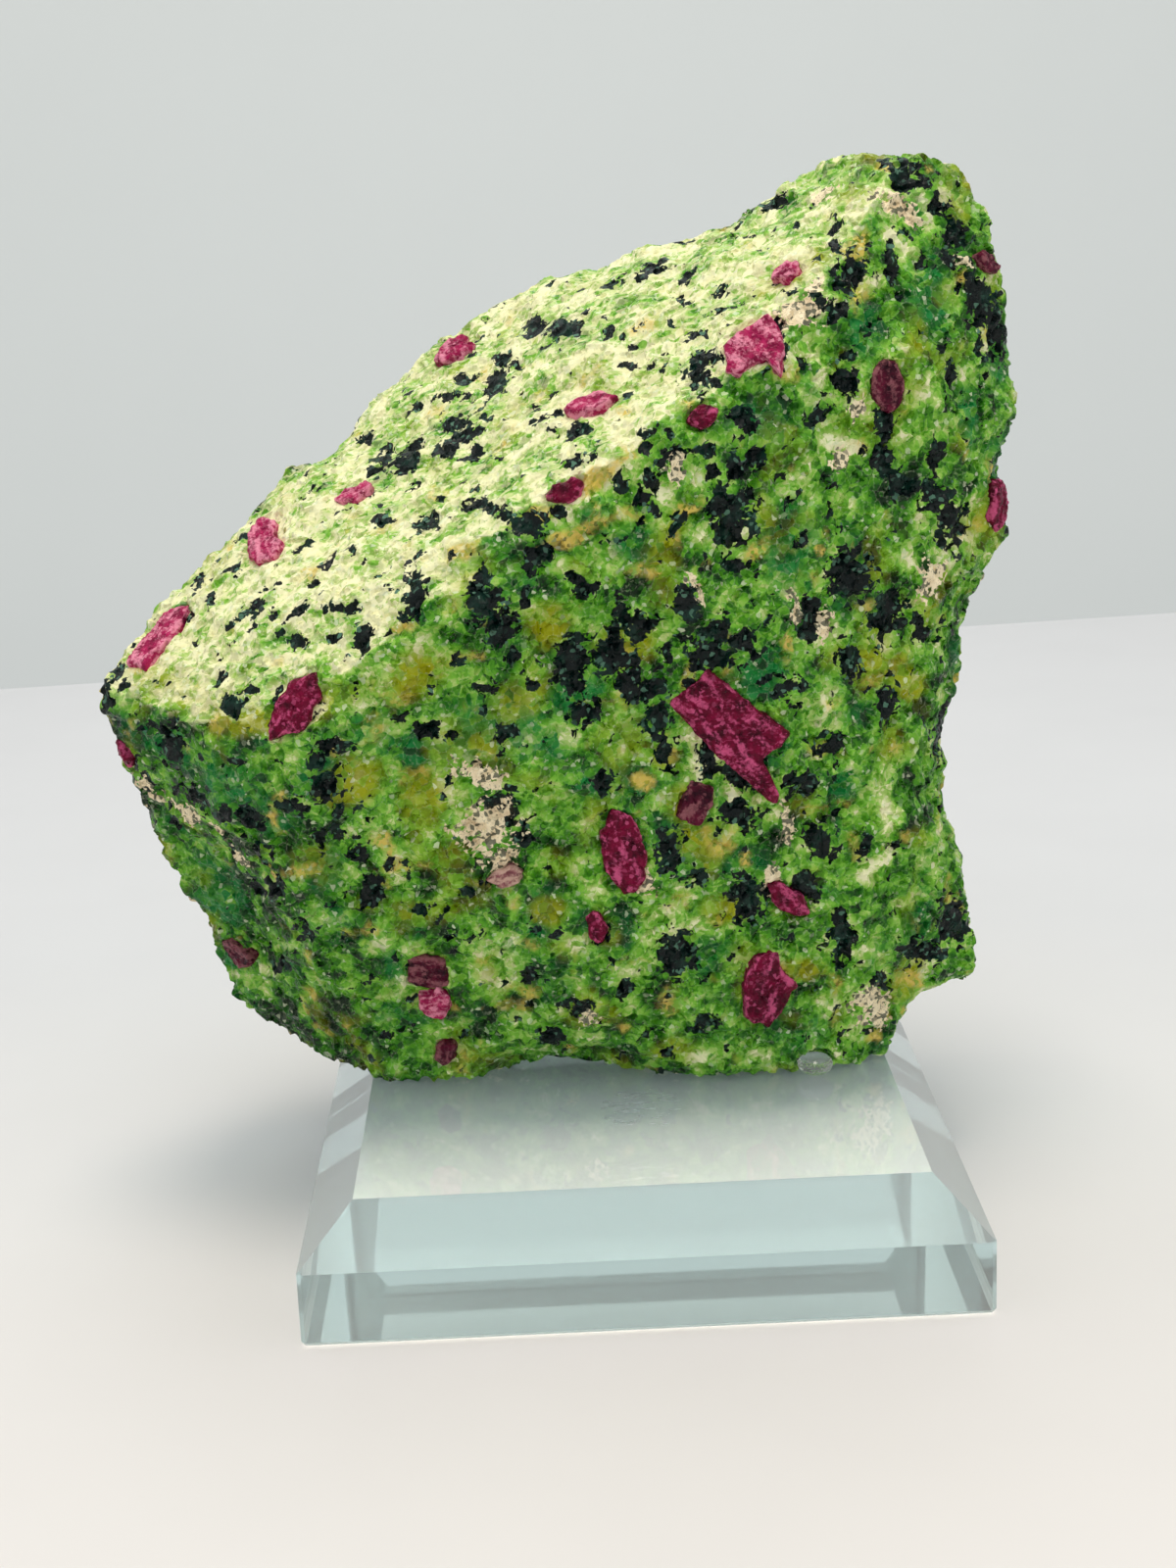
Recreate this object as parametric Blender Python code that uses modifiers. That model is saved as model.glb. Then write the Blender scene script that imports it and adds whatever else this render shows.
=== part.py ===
"""Ruby in zoisite specimen on its bevelled glass stand.

Frame: metres, +Z up, origin at the centre of the stand's underside.
The stone's broad face looks along -Y and its long slab face slopes up to +X.
"""
import math

import bmesh
import bpy
from mathutils import Matrix, Vector, noise
from mathutils.bvhtree import BVHTree

MM = 0.001

# ---- stand ----------------------------------------------------------------
STAND_SIDE = 76.2 * MM          # a three inch square base
STAND_HEIGHT = 14.5 * MM
STAND_WALL = 8.6 * MM           # upright part of each side, below the bevel
STAND_BEVEL = 6.1 * MM          # how far the bevel comes in at the top
STAND_ARRIS = 0.5 * MM          # ground edge under the stand

# ---- fits -----------------------------------------------------------------
GAP = 0.3 * MM                  # left between pieces that touch
FOOT = STAND_HEIGHT + GAP       # level of the stone's foot

# ---- stone ----------------------------------------------------------------
# Corners of the block, in mm, as (across, back, up). The block is their hull.
BROW_CORNERS = (                # front edge of the slab face, left to right
    (-62.2, 2, 65.5), (-48.5, -8, 63), (-38, -13, 62), (-25, -14, 74), (-17.5, -14.5, 76.5),
    (-19, -12, 82), (-7, -12, 88), (4, -12, 94), (13, -10.5, 100.5), (25.5, -6, 108), (28, -2, 114),
)
RIM_CORNERS = (                 # back edge of the slab face, left to right
    (-59, 8, 70.5), (-47, 17, 82), (-32.5, 24, 92), (-28.5, 27, 98), (-9.5, 31, 110),
    (9.5, 30, 115), (23, 20, 120), (29.5, 14, 124.5),
)
NOSE_CORNERS = (                # rounded top right end and the right side below it
    (37, 8, 124.3), (41.5, 9, 122), (44.5, 9, 119), (46.8, 9, 115), (48.8, 8, 107), (49.7, 8, 98),
    (48.5, 8, 83), (31, -6, 97.5), (31, -8, 75.5), (30, -6, 52), (28, -3, 32),
    (45.3, 6, 28), (45, 7, 22.8),
)
FOOT_CORNERS = (                # front and right of the foot
    (-29.5, 2.5, 13), (-20, 1.5, 13), (7, -1, 13), (14, -2, 13), (25.5, -1.5, 13), (33, 7, 13),
)
LEFT_CORNERS = (                # undercut left end, top to bottom
    (-60.5, 6, 57), (-59.5, 9, 52), (-46, -6, 52), (-40, -6, 43.5), (-57, 14, 42), (-36.5, -3, 34),
    (-53.5, 18, 27), (-48, 16, 20), (-43, 14, 16), (-37, 10, 16.5),
)
BACK_CORNERS = (                # rear fracture
    (-46, 25, 70), (-22, 38, 88), (8, 42, 104), (32, 36, 112), (44, 38, 90), (42, 40, 48),
    (39, 35, 28), (26, 30, 13), (-26, 29, 13), (-44, 27, 24), (-51, 26, 45),
)
BLOCK_VOXEL = 1.5 * MM
EDGE_WEAR = 3                   # smoothing passes that round the broken edges
# Hollows and swells, in mm: (name, centre, reach across/back/up, push).
STROKES = (
    ("right waist", (48, 14, 52), (17, 40, 34), (-6.4, 0, 0)),
    ("notch above the side ruby", (50, 8, 87), (6, 16, 6), (-2, 0, 0)),
    ("saddle on the rim", (18, 24, 118), (17, 22, 10), (0, 0, -3.6)),
    ("dip in the middle of the rim", (1, 32, 113), (9, 16, 8), (0, 0, -2.2)),
    ("worn rim by the step", (-26, 27, 99), (10, 14, 8), (0.3, 0, -1.0)),
    ("broken rim left of the step", (-36, 26, 94), (8, 14, 9), (1, 0, -3.2)),
    ("hollow below the side ruby", (47, 10, 70), (8, 20, 9), (-1.8, 0, 0)),
    ("soft right shoulder", (30, -8, 70), (14, 12, 44), (-1.5, 2, 0)),
    ("arch under the front", (-7, 0, 14), (15, 14, 7), (0, 3, 3)),
    ("cut back under the spur", (40, 8, 17), (9, 16, 7), (-3, 2, 3)),
    ("left undercut", (-49, 4, 36), (10, 12, 22), (2, 2, 0)),
    ("hollow in the left side", (-58, 15, 33), (8, 18, 11), (1.8, 0, 0)),
    ("lower left swell", (-50, 16, 20), (7, 14, 7), (-1.5, 0, -1)),
    ("hollow under the brow", (0, -14, 67), (26, 12, 14), (0, 1.6, 0)),
    ("swell low on the front", (2, -4, 34), (34, 14, 22), (0, -1.5, 0)),
    ("dip across the slab", (-20, 12, 88), (16, 26, 10), (0.5, 0, -1.2)),
    ("swell on the slab", (6, 12, 104), (18, 22, 12), (-0.5, 0, 1.0)),
    ("hollow in the rear face", (6, 42, 60), (34, 14, 30), (0, -4, 0)),
)
# Broken surface: (depth in mm, size of one bump in mm), coarse to fine.
RELIEF = ((0.9, 15.0), (0.7, 6.5), (0.4, 3.0))
LEDGE_HEIGHT = 0.5              # small flake steps, in mm
LEDGE_SPACING = 7.0
STONE_FACES = 6200              # triangles left on the finished stone


# ---- ruby crystals ----------------------------------------------------------
# Each lies in the stone's skin near a point (across, back, up), in mm. Its lean is how far
# its long axis is turned up from the level line of that face, in degrees.
# (name, near, length, width, lean)
RUBIES = (
    ("ruby_long_bar", (14.7, -8.5, 59.6), 17.2, 6.2, -45),
    ("ruby_barrel", (0, -9, 46), 10.2, 5, -84),
    ("ruby_wedge", (17, -5, 26.7), 9.8, 6.4, 69),
    ("ruby_dull_patch", (8.3, -8.5, 51.5), 4.8, 3.6, 67),
    ("ruby_sliver", (18.8, -6.2, 38), 6.8, 2.8, -40),
    ("ruby_dark_block", (-23.6, -4.2, 31.2), 4.8, 4.8, 84),
    ("ruby_pink_stub", (-23.3, -2.4, 25.4), 4.6, 4.2, -76),
    ("ruby_low_trace", (-23, 0, 19.6), 3.8, 2.4, 81),
    ("ruby_small_fleck", (-3.1, -8.5, 36), 3.8, 2.2, 87),
    ("ruby_mauve_streak", (-14.4, -9, 43.8), 4.4, 2.4, 10),
    ("ruby_left_bar", (-36, -12.3, 66.3), 9, 4.4, 55),
    ("ruby_left_slab", (-41.1, 9.3, 81.7), 10, 5, -38),
    ("ruby_left_rim", (-54.6, 5.6, 72.2), 10.2, 4, 95),
    ("ruby_tip", (-59.4, 4, 57.2), 4, 2.4, 80),
    ("ruby_pale_slab", (-30, 7.1, 86.8), 4.8, 3.4, 27),
    ("ruby_rim", (-18.9, 23.4, 101.7), 5.6, 5, 49),
    ("ruby_mid_slab", (-2.5, -3, 96.6), 7.2, 3.4, 20),
    ("ruby_crest", (16.3, -7.2, 104), 8.6, 7.4, 36),
    ("ruby_brow", (9.9, -11.4, 95.8), 3.6, 2.4, 15),
    ("ruby_upper_fleck", (21.2, 0, 111.4), 3.4, 2.8, 43),
    ("ruby_ridge_fleck", (-5, -12.6, 88.3), 4.4, 2.6, 16),
    ("ruby_hollow", (31.7, -4.6, 98.6), 6, 3.8, 88),
    ("ruby_right_side", (46.2, 6, 83), 6, 4.4, 80),
    ("ruby_low_left", (-49, 12, 28.8), 5, 4, -33),
    ("ruby_nose", (45.3, 6.4, 110.5), 4.2, 2.4, -26),
    ("ruby_rear_bar", (-14, 38, 66), 11, 5, 35),
    ("ruby_rear_block", (22, 38, 88), 6.4, 5.4, -20),
    ("ruby_rear_low", (14, 34, 34), 7.6, 4, 70),
    ("ruby_rear_left", (-42, 28, 52), 6, 4.2, -55),
    ("ruby_right_rear", (44, 24, 60), 8, 4.6, 30),
)
RUBY_SIDES = 6
RUBY_DEPTH = 1.0                # depth in the stone, as a share of its width
RUBY_PROUD = 0.45 * MM          # how far the top stands out of the stone
RUBY_TAPER = 0.82               # foot of a crystal against its top
RUBY_END = 0.3                  # length of a pointed end, as a share of the width
RUBY_ARRIS = 0.3 * MM
POCKET_SPARE = 0.36 * MM        # wider than the gap, because the pointed ends slant
POCKET_RISE = 4 * MM            # pockets are cut from this far above the skin
SKIN_REACH = 3.5 * MM           # patch of stone that sets the way a crystal faces

# ---- clear bead under the stone's front edge --------------------------------
BEAD_CENTRE = (22.6, -2.4)      # across and back, in mm
BEAD_WIDTH = 4.4 * MM
BEAD_HEIGHT = 2.7 * MM


def clear_scene():
    """Remove whatever the file holds before the model is made."""
    for item in list(bpy.data.objects):
        bpy.data.objects.remove(item, do_unlink=True)


def collection(name):
    """Add a collection under the scene's own."""
    made = bpy.data.collections.new(name)
    bpy.context.scene.collection.children.link(made)
    return made


def material(name, colour, roughness, transmission=0.0, ior=1.5):
    """Plain Principled material."""
    made = bpy.data.materials.new(name)
    made.use_nodes = True
    shader = made.node_tree.nodes["Principled BSDF"]
    shader.inputs["Base Color"].default_value = (*colour, 1.0)
    shader.inputs["Roughness"].default_value = roughness
    shader.inputs["Metallic"].default_value = 0.0
    shader.inputs["Transmission Weight"].default_value = transmission
    shader.inputs["IOR"].default_value = ior
    return made


def mesh_object(name, bm, group, finish):
    """Turn a bmesh into an object of the given collection."""
    bm.normal_update()
    mesh = bpy.data.meshes.new(name)
    bm.to_mesh(mesh)
    bm.free()
    made = bpy.data.objects.new(name, mesh)
    group.objects.link(made)
    if finish:
        mesh.materials.append(finish)
    return made


def applied(item):
    """Replace an object's mesh with its mesh after modifiers, and drop them."""
    graph = bpy.context.evaluated_depsgraph_get()
    mesh = bpy.data.meshes.new_from_object(item.evaluated_get(graph))
    item.modifiers.clear()
    item.data = mesh
    return item


def hull_of(corners):
    """Closed convex hull of points given in mm."""
    bm = bmesh.new()
    for corner in corners:
        bm.verts.new(Vector(corner) * MM)
    made = bmesh.ops.convex_hull(bm, input=bm.verts)
    loose = {v for v in made["geom_interior"] + made["geom_unused"] if isinstance(v, bmesh.types.BMVert)}
    bmesh.ops.delete(bm, geom=list(loose), context="VERTS")
    return bm


def build_block(group, finish):
    """The rough block: hull, rounded a little by a voxel remesh."""
    corners = BROW_CORNERS + RIM_CORNERS + NOSE_CORNERS + FOOT_CORNERS + LEFT_CORNERS + BACK_CORNERS
    stone = mesh_object("zoisite_matrix", hull_of(corners), group, finish)
    remesh = stone.modifiers.new("even_skin", "REMESH")
    remesh.mode = "VOXEL"
    remesh.voxel_size = BLOCK_VOXEL
    wear = stone.modifiers.new("edge_wear", "SMOOTH")
    wear.factor = 0.5
    wear.iterations = EDGE_WEAR
    return applied(stone)


def sculpt(stone):
    """Push the hollows and swells into the block."""
    for vertex in stone.data.vertices:
        place = vertex.co / MM
        moved = Vector((0.0, 0.0, 0.0))
        for _, centre, reach, push in STROKES:
            away = Vector([(place[i] - centre[i]) / reach[i] for i in range(3)]).length
            if away < 1.0:
                moved += Vector(push) * (1.0 - away * away) ** 2
        vertex.co = vertex.co + moved * MM


def roughen(stone):
    """Give the surface its broken relief: rounded bumps and small flake steps."""
    mesh = stone.data
    normals = [vertex.normal.copy() for vertex in mesh.vertices]
    for vertex, normal in zip(mesh.vertices, normals):
        place = vertex.co / MM
        height = 0.0
        for depth, size in RELIEF:
            height += depth * noise.noise(place / size)
        lean = place.x * 0.3 + place.z * 0.8 + place.y * 0.5 + 5.0 * noise.noise(place / 18.0)
        height += LEDGE_HEIGHT * (lean / LEDGE_SPACING % 1.0 - 0.5)
        vertex.co = vertex.co + normal * height * MM


def box_cutter(name, low, high, group):
    """Box used only to cut another piece."""
    bm = bmesh.new()
    bmesh.ops.create_cube(bm, size=1.0)
    size = Vector(high) - Vector(low)
    bmesh.ops.scale(bm, verts=bm.verts, vec=size)
    bmesh.ops.translate(bm, verts=bm.verts, vec=(Vector(low) + Vector(high)) / 2)
    return as_cutter(mesh_object(name, bm, group, None))


def as_cutter(item):
    """Mark an object as a cutting tool that is not part of the model."""
    item.hide_render = True
    item.display_type = "WIRE"
    return item


def cut_foot(stone, tools):
    """Cut the foot flat, a gap above the stand."""
    reach = 100 * MM
    below = box_cutter("below_foot", (-reach, -reach, -reach), (reach, reach, FOOT), tools)
    cut = stone.modifiers.new("flat_foot", "BOOLEAN")
    cut.operation = "DIFFERENCE"
    cut.object = below
    applied(stone)


def thin_out(stone):
    """Bring the stone down to its face budget."""
    fewer = stone.modifiers.new("fewer_faces", "DECIMATE")
    fewer.ratio = STONE_FACES / triangle_count(stone.data)
    applied(stone)


def triangle_count(mesh):
    """How many triangles a mesh holds."""
    mesh.calc_loop_triangles()
    return len(mesh.loop_triangles)


def build_stand(group, finish):
    """Square glass block: upright sides, then a bevel up to a smaller top."""
    bm = bmesh.new()
    bmesh.ops.create_cube(bm, size=1.0)
    bmesh.ops.scale(bm, verts=bm.verts, vec=(STAND_SIDE, STAND_SIDE, STAND_WALL))
    bmesh.ops.translate(bm, verts=bm.verts, vec=(0, 0, STAND_WALL / 2))
    top = max(bm.faces, key=lambda face: face.calc_center_median().z)
    raised = bmesh.ops.extrude_face_region(bm, geom=[top])["geom"]
    bmesh.ops.delete(bm, geom=[top], context="FACES_ONLY")
    corners = [item for item in raised if isinstance(item, bmesh.types.BMVert)]
    shrink = 1.0 - 2.0 * STAND_BEVEL / STAND_SIDE
    bmesh.ops.scale(bm, verts=corners, vec=(shrink, shrink, 1.0))
    bmesh.ops.translate(bm, verts=corners, vec=(0, 0, STAND_HEIGHT - STAND_WALL))
    low = [edge for edge in bm.edges if max(v.co.z for v in edge.verts) < STAND_WALL + GAP]
    sharp = [edge for edge in low if min(v.co.z for v in edge.verts) < GAP]
    bmesh.ops.bevel(bm, geom=sharp, offset=STAND_ARRIS, segments=1, affect="EDGES")
    return mesh_object("glass_stand", bm, group, finish)


class Seat:
    """A patch of the stone's skin that a crystal is set in."""

    def __init__(self, skin, near):
        patch = skin.find_nearest_range(skin.find_nearest(Vector(near) * MM)[0], SKIN_REACH)
        self.normal = sum((found[1] for found in patch), Vector()).normalized()
        self.centre = sum((found[0] for found in patch), Vector()) / len(patch)
        self.level = Vector((0, 0, 1)).cross(self.normal).normalized()

    def frame(self, lean):
        """Matrix whose Z is the way out of the stone and X the crystal's long axis."""
        rise = self.normal.cross(self.level)
        turned = Matrix((self.level, rise, self.normal)).transposed().to_4x4()
        return Matrix.Translation(self.centre) @ turned @ Matrix.Rotation(math.radians(lean), 4, "Z")


def prism(length, width, low, high, spare=0.0):
    """Six sided bar along X with pointed ends, narrower towards its foot and grown by spare."""
    bm = bmesh.new()
    bmesh.ops.create_cone(
        bm, cap_ends=True, segments=RUBY_SIDES, radius1=1.0, radius2=1.0, depth=2.0,
        matrix=Matrix.Rotation(math.radians(90), 4, "Z"),
    )
    end = RUBY_END * width
    flat = math.cos(math.radians(30))
    slope = (1 - RUBY_TAPER) / (RUBY_DEPTH * width + RUBY_PROUD)
    for vertex in bm.verts:
        x, y, z = vertex.co
        level = high if z > 0 else low
        narrow = 1 + slope * (level - RUBY_PROUD)
        half_length = length / 2 - 2 * end * (1 - abs(x))
        out_y = 0.0 if abs(y) < 0.1 else math.copysign(spare, y)
        vertex.co = (
            math.copysign(half_length * narrow + spare, x),
            y / flat * width / 2 * narrow + out_y,
            level,
        )
    return bm


def build_ruby(seat, name, length, width, lean, group, finish):
    """One crystal, standing a little out of the skin."""
    bm = prism(length * MM, width * MM, -RUBY_DEPTH * width * MM, RUBY_PROUD)
    rim = [edge for edge in bm.edges if min(v.co.z for v in edge.verts) > 0]
    bmesh.ops.bevel(bm, geom=rim, offset=RUBY_ARRIS, segments=1, affect="EDGES")
    bm.transform(seat.frame(lean))
    return mesh_object(name, bm, group, finish)


def build_pocket(seat, name, length, width, lean, group):
    """The same shape grown by the gap, to cut the crystal's seat."""
    low = -RUBY_DEPTH * width * MM - GAP
    bm = prism(length * MM, width * MM, low, POCKET_RISE, spare=POCKET_SPARE)
    bm.transform(seat.frame(lean))
    return as_cutter(mesh_object(name + "_pocket", bm, group, None))


def dome(width, height):
    """Flattened ball standing on the stand's top, a gap above it."""
    bm = bmesh.new()
    bmesh.ops.create_icosphere(bm, subdivisions=3, radius=0.5)
    bmesh.ops.scale(bm, verts=bm.verts, vec=(width, width, height))
    middle = (BEAD_CENTRE[0] * MM, BEAD_CENTRE[1] * MM, FOOT + BEAD_HEIGHT / 2)
    bmesh.ops.translate(bm, verts=bm.verts, vec=middle)
    return bm


def seat_everything(stone, pockets):
    """Cut all seats out of the stone."""
    cut = stone.modifiers.new("seats", "BOOLEAN")
    cut.operation = "DIFFERENCE"
    cut.operand_type = "COLLECTION"
    cut.collection = pockets
    applied(stone)


def main():
    """Build the stone, its crystals, the bead and the stand."""
    clear_scene()
    group = collection("ruby_in_zoisite_on_stand")
    tools = collection("cutting_tools")
    pockets = collection("pockets")
    green = material("zoisite", (0.16, 0.33, 0.06), 0.5)
    red = material("ruby", (0.30, 0.02, 0.09), 0.3)
    glass = material("glass", (0.80, 0.93, 0.92), 0.02, transmission=1.0, ior=1.52)
    gel = material("clear_gel", (0.93, 0.96, 0.93), 0.05, transmission=1.0, ior=1.41)

    stone = build_block(group, green)
    sculpt(stone)
    roughen(stone)
    cut_foot(stone, tools)
    thin_out(stone)

    rough = bmesh.new()
    rough.from_mesh(stone.data)
    skin = BVHTree.FromBMesh(rough)
    rough.free()
    for name, near, length, width, lean in RUBIES:
        seat = Seat(skin, near)
        build_ruby(seat, name, length, width, lean, group, red)
        build_pocket(seat, name, length, width, lean, pockets)

    mesh_object("clear_bead", dome(BEAD_WIDTH, BEAD_HEIGHT), group, gel)
    grown = dome(BEAD_WIDTH + 2 * GAP, BEAD_HEIGHT + 2 * GAP)
    as_cutter(mesh_object("clear_bead_pocket", grown, pockets, None))
    seat_everything(stone, pockets)
    build_stand(group, glass)


main()
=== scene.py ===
"""Looks of a ruby in zoisite specimen that rests on a bevelled glass stand.

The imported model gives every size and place, in metres.  The stone is one rough skin of
sugary zoisite, with black-green amphibole and cream feldspar in it.  Thirty ruby crystals
sit in that skin.  The stand and the gel bead are clear.
"""

import logging
import math
from dataclasses import dataclass
from enum import Enum
from typing import NamedTuple

import bmesh
import bpy
import numpy as np
from mathutils import Matrix, Vector, kdtree, noise
from mathutils.bvhtree import BVHTree


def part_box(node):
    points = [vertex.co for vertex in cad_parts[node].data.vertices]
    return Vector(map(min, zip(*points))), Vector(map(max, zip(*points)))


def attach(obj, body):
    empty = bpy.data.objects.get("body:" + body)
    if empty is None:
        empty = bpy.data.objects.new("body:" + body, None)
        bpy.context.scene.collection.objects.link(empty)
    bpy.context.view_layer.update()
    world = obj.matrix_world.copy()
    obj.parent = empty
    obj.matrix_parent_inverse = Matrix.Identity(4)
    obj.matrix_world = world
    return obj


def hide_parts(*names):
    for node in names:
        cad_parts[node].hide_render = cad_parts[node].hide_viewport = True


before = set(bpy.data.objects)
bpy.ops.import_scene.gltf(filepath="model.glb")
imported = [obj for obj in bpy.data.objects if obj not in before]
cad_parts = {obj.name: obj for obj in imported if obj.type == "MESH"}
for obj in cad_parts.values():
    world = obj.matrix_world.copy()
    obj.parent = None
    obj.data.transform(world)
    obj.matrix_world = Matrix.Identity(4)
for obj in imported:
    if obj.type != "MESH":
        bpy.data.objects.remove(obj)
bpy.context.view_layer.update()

MM = 0.001
BODY = "root"
STONE = "zoisite_matrix"
MID_GREY = (0.5, 0.5, 0.5)
LOG = logging.getLogger("ruby_in_zoisite")

Colour = tuple[float, float, float]
Point = tuple[float, float, float]
Span = tuple[float, float]
Array = np.ndarray
Mesh = bpy.types.Mesh
Thing = bpy.types.Object
Socket = bpy.types.NodeSocket
Inputs = dict[str | int, object]


# ---------------------------------------------------------------- small helpers


def new_object(name: str, mesh: Mesh) -> Thing:
    """Link a mesh to the scene.

    Args:
        name: The object's name.
        mesh: Its mesh, in the row frame.

    Returns:
        The new object, at the origin.
    """
    piece = bpy.data.objects.new(name, mesh)
    bpy.context.scene.collection.objects.link(piece)
    return piece


def mesh_of(name: str, points: Array, faces: Array) -> Mesh:
    """Make a mesh whose faces all have the same number of corners.

    Args:
        name: The mesh's name.
        points: Vertex places, one row each.
        faces: Vertex numbers, one row for each face.

    Returns:
        The mesh, flat shaded.
    """
    mesh = bpy.data.meshes.new(name)
    count, corners = faces.shape
    mesh.vertices.add(len(points))
    mesh.vertices.foreach_set("co", points.astype(np.float32).ravel())
    mesh.loops.add(count * corners)
    mesh.loops.foreach_set("vertex_index", faces.astype(np.int32).ravel())
    mesh.polygons.add(count)
    mesh.polygons.foreach_set("loop_start", np.arange(count, dtype=np.int32) * corners)
    mesh.update(calc_edges=True)
    return mesh


def points_of(mesh: Mesh) -> Array:
    """Read a mesh's vertex places, one row each."""
    flat = np.empty(len(mesh.vertices) * 3, np.float32)
    mesh.vertices.foreach_get("co", flat)
    return flat.reshape(-1, 3).astype(float)


def normals_of(mesh: Mesh) -> Array:
    """Read a mesh's vertex normals, one row each."""
    flat = np.empty(len(mesh.vertices) * 3, np.float32)
    mesh.vertex_normals.foreach_get("vector", flat)
    return flat.reshape(-1, 3).astype(float)


def set_points(mesh: Mesh, points: Array) -> None:
    """Move a mesh's vertices to these places."""
    mesh.vertices.foreach_set("co", points.astype(np.float32).ravel())
    mesh.update()


def add_attribute(mesh: Mesh, name: str, values: Array) -> None:
    """Store one number for each vertex of a mesh."""
    layer = mesh.attributes.new(name, "FLOAT", "POINT")
    layer.data.foreach_set("value", values.astype(np.float32))


def remeshed(name: str, mesh: Mesh, voxel: float) -> Mesh:
    """Rebuild a closed mesh as an even net of small quads.

    Args:
        name: The new mesh's name.
        mesh: The closed mesh to rebuild; it is removed.
        voxel: Side of the quads, in metres.

    Returns:
        The new mesh.
    """
    holder = new_object(name + "_coarse", mesh)
    step = holder.modifiers.new("even", "REMESH")
    step.mode = "VOXEL"
    step.voxel_size = voxel
    graph = bpy.context.evaluated_depsgraph_get()
    made = bpy.data.meshes.new_from_object(holder.evaluated_get(graph))
    made.name = name
    bpy.data.objects.remove(holder)
    bpy.data.meshes.remove(mesh)
    return made


def noise_at(points: Array, size: float, seed: int, octaves: int = 2) -> Array:
    """Smooth noise at many points.

    Args:
        points: Places, one row each, in metres.
        size: Width of the noise's lumps, in metres.
        seed: Picks another part of the noise.
        octaves: How many finer layers are added.

    Returns:
        One value for each point, about -1 to 1.
    """
    shift = Vector((seed * 17.31, seed * -9.77, seed * 5.13))
    places = (points / size).tolist()
    found = [noise.fractal(Vector(p) + shift, 1.0, 2.0, octaves) for p in places]
    return np.array(found)


def linear(red: float, green: float, blue: float) -> Colour:
    """Turn a display colour, 0 to 1, into the linear one that shaders use."""
    return tuple(c / 12.92 if c <= 0.04045 else ((c + 0.055) / 1.055) ** 2.4 for c in (red, green, blue))


# ---------------------------------------------------------------- the viewpoint


@dataclass(frozen=True)
class Viewpoint:
    """The camera, and the 1200 x 1600 frame that the places of marks are read in."""

    place: Point = (-7.911 * MM, -271.569 * MM, 123.056 * MM)
    pitch: float = 14.636
    yaw: float = 0.878
    roll: float = -2.34
    lens: float = 54.0
    sensor: float = 36.0
    frame_wide: float = 1200.0
    frame_tall: float = 1600.0

    def axes(self) -> tuple[Vector, Vector, Vector]:
        """The camera's right, up and forward directions.

        Returns:
            Three unit vectors in the row frame.
        """
        pitch, yaw, roll = (math.radians(a) for a in (self.pitch, self.yaw, self.roll))
        ahead = Vector((math.sin(yaw) * math.cos(pitch), math.cos(yaw) * math.cos(pitch), -math.sin(pitch)))
        level = Vector((math.cos(yaw), -math.sin(yaw), 0.0))
        upright = level.cross(ahead)
        right = math.cos(roll) * level + math.sin(roll) * upright
        up = math.cos(roll) * upright - math.sin(roll) * level
        return right, up, ahead

    def focal(self) -> float:
        """Focal length in pixels of the frame."""
        return self.lens / self.sensor * self.frame_tall

    def ray(self, across: float, down: float) -> Vector:
        """Direction from the camera through a pixel.

        Args:
            across: Pixels from the frame's left side.
            down: Pixels from the frame's top.

        Returns:
            A unit vector in the row frame.
        """
        right, up, ahead = self.axes()
        side = (across - self.frame_wide / 2) / self.focal()
        rise = (self.frame_tall / 2 - down) / self.focal()
        return (ahead + side * right + rise * up).normalized()

    def build(self) -> Thing:
        """Make the camera.

        Returns:
            The camera object, which the scene then uses.
        """
        data = bpy.data.cameras.new("camera")
        data.lens = self.lens
        data.sensor_width = self.sensor
        data.clip_start = 0.01
        data.clip_end = 20.0
        camera = bpy.data.objects.new("camera", data)
        bpy.context.scene.collection.objects.link(camera)
        right, up, ahead = self.axes()
        turn = Matrix((right, up, -ahead)).transposed()
        camera.matrix_world = Matrix.Translation(self.place) @ turn.to_4x4()
        bpy.context.scene.camera = camera
        return camera


# ---------------------------------------------------------------- shader building


class Cells(NamedTuple):
    """Random values that are even over each crystal: a colour, and its three parts."""

    colour: Socket
    red: Socket
    green: Socket
    blue: Socket


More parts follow.
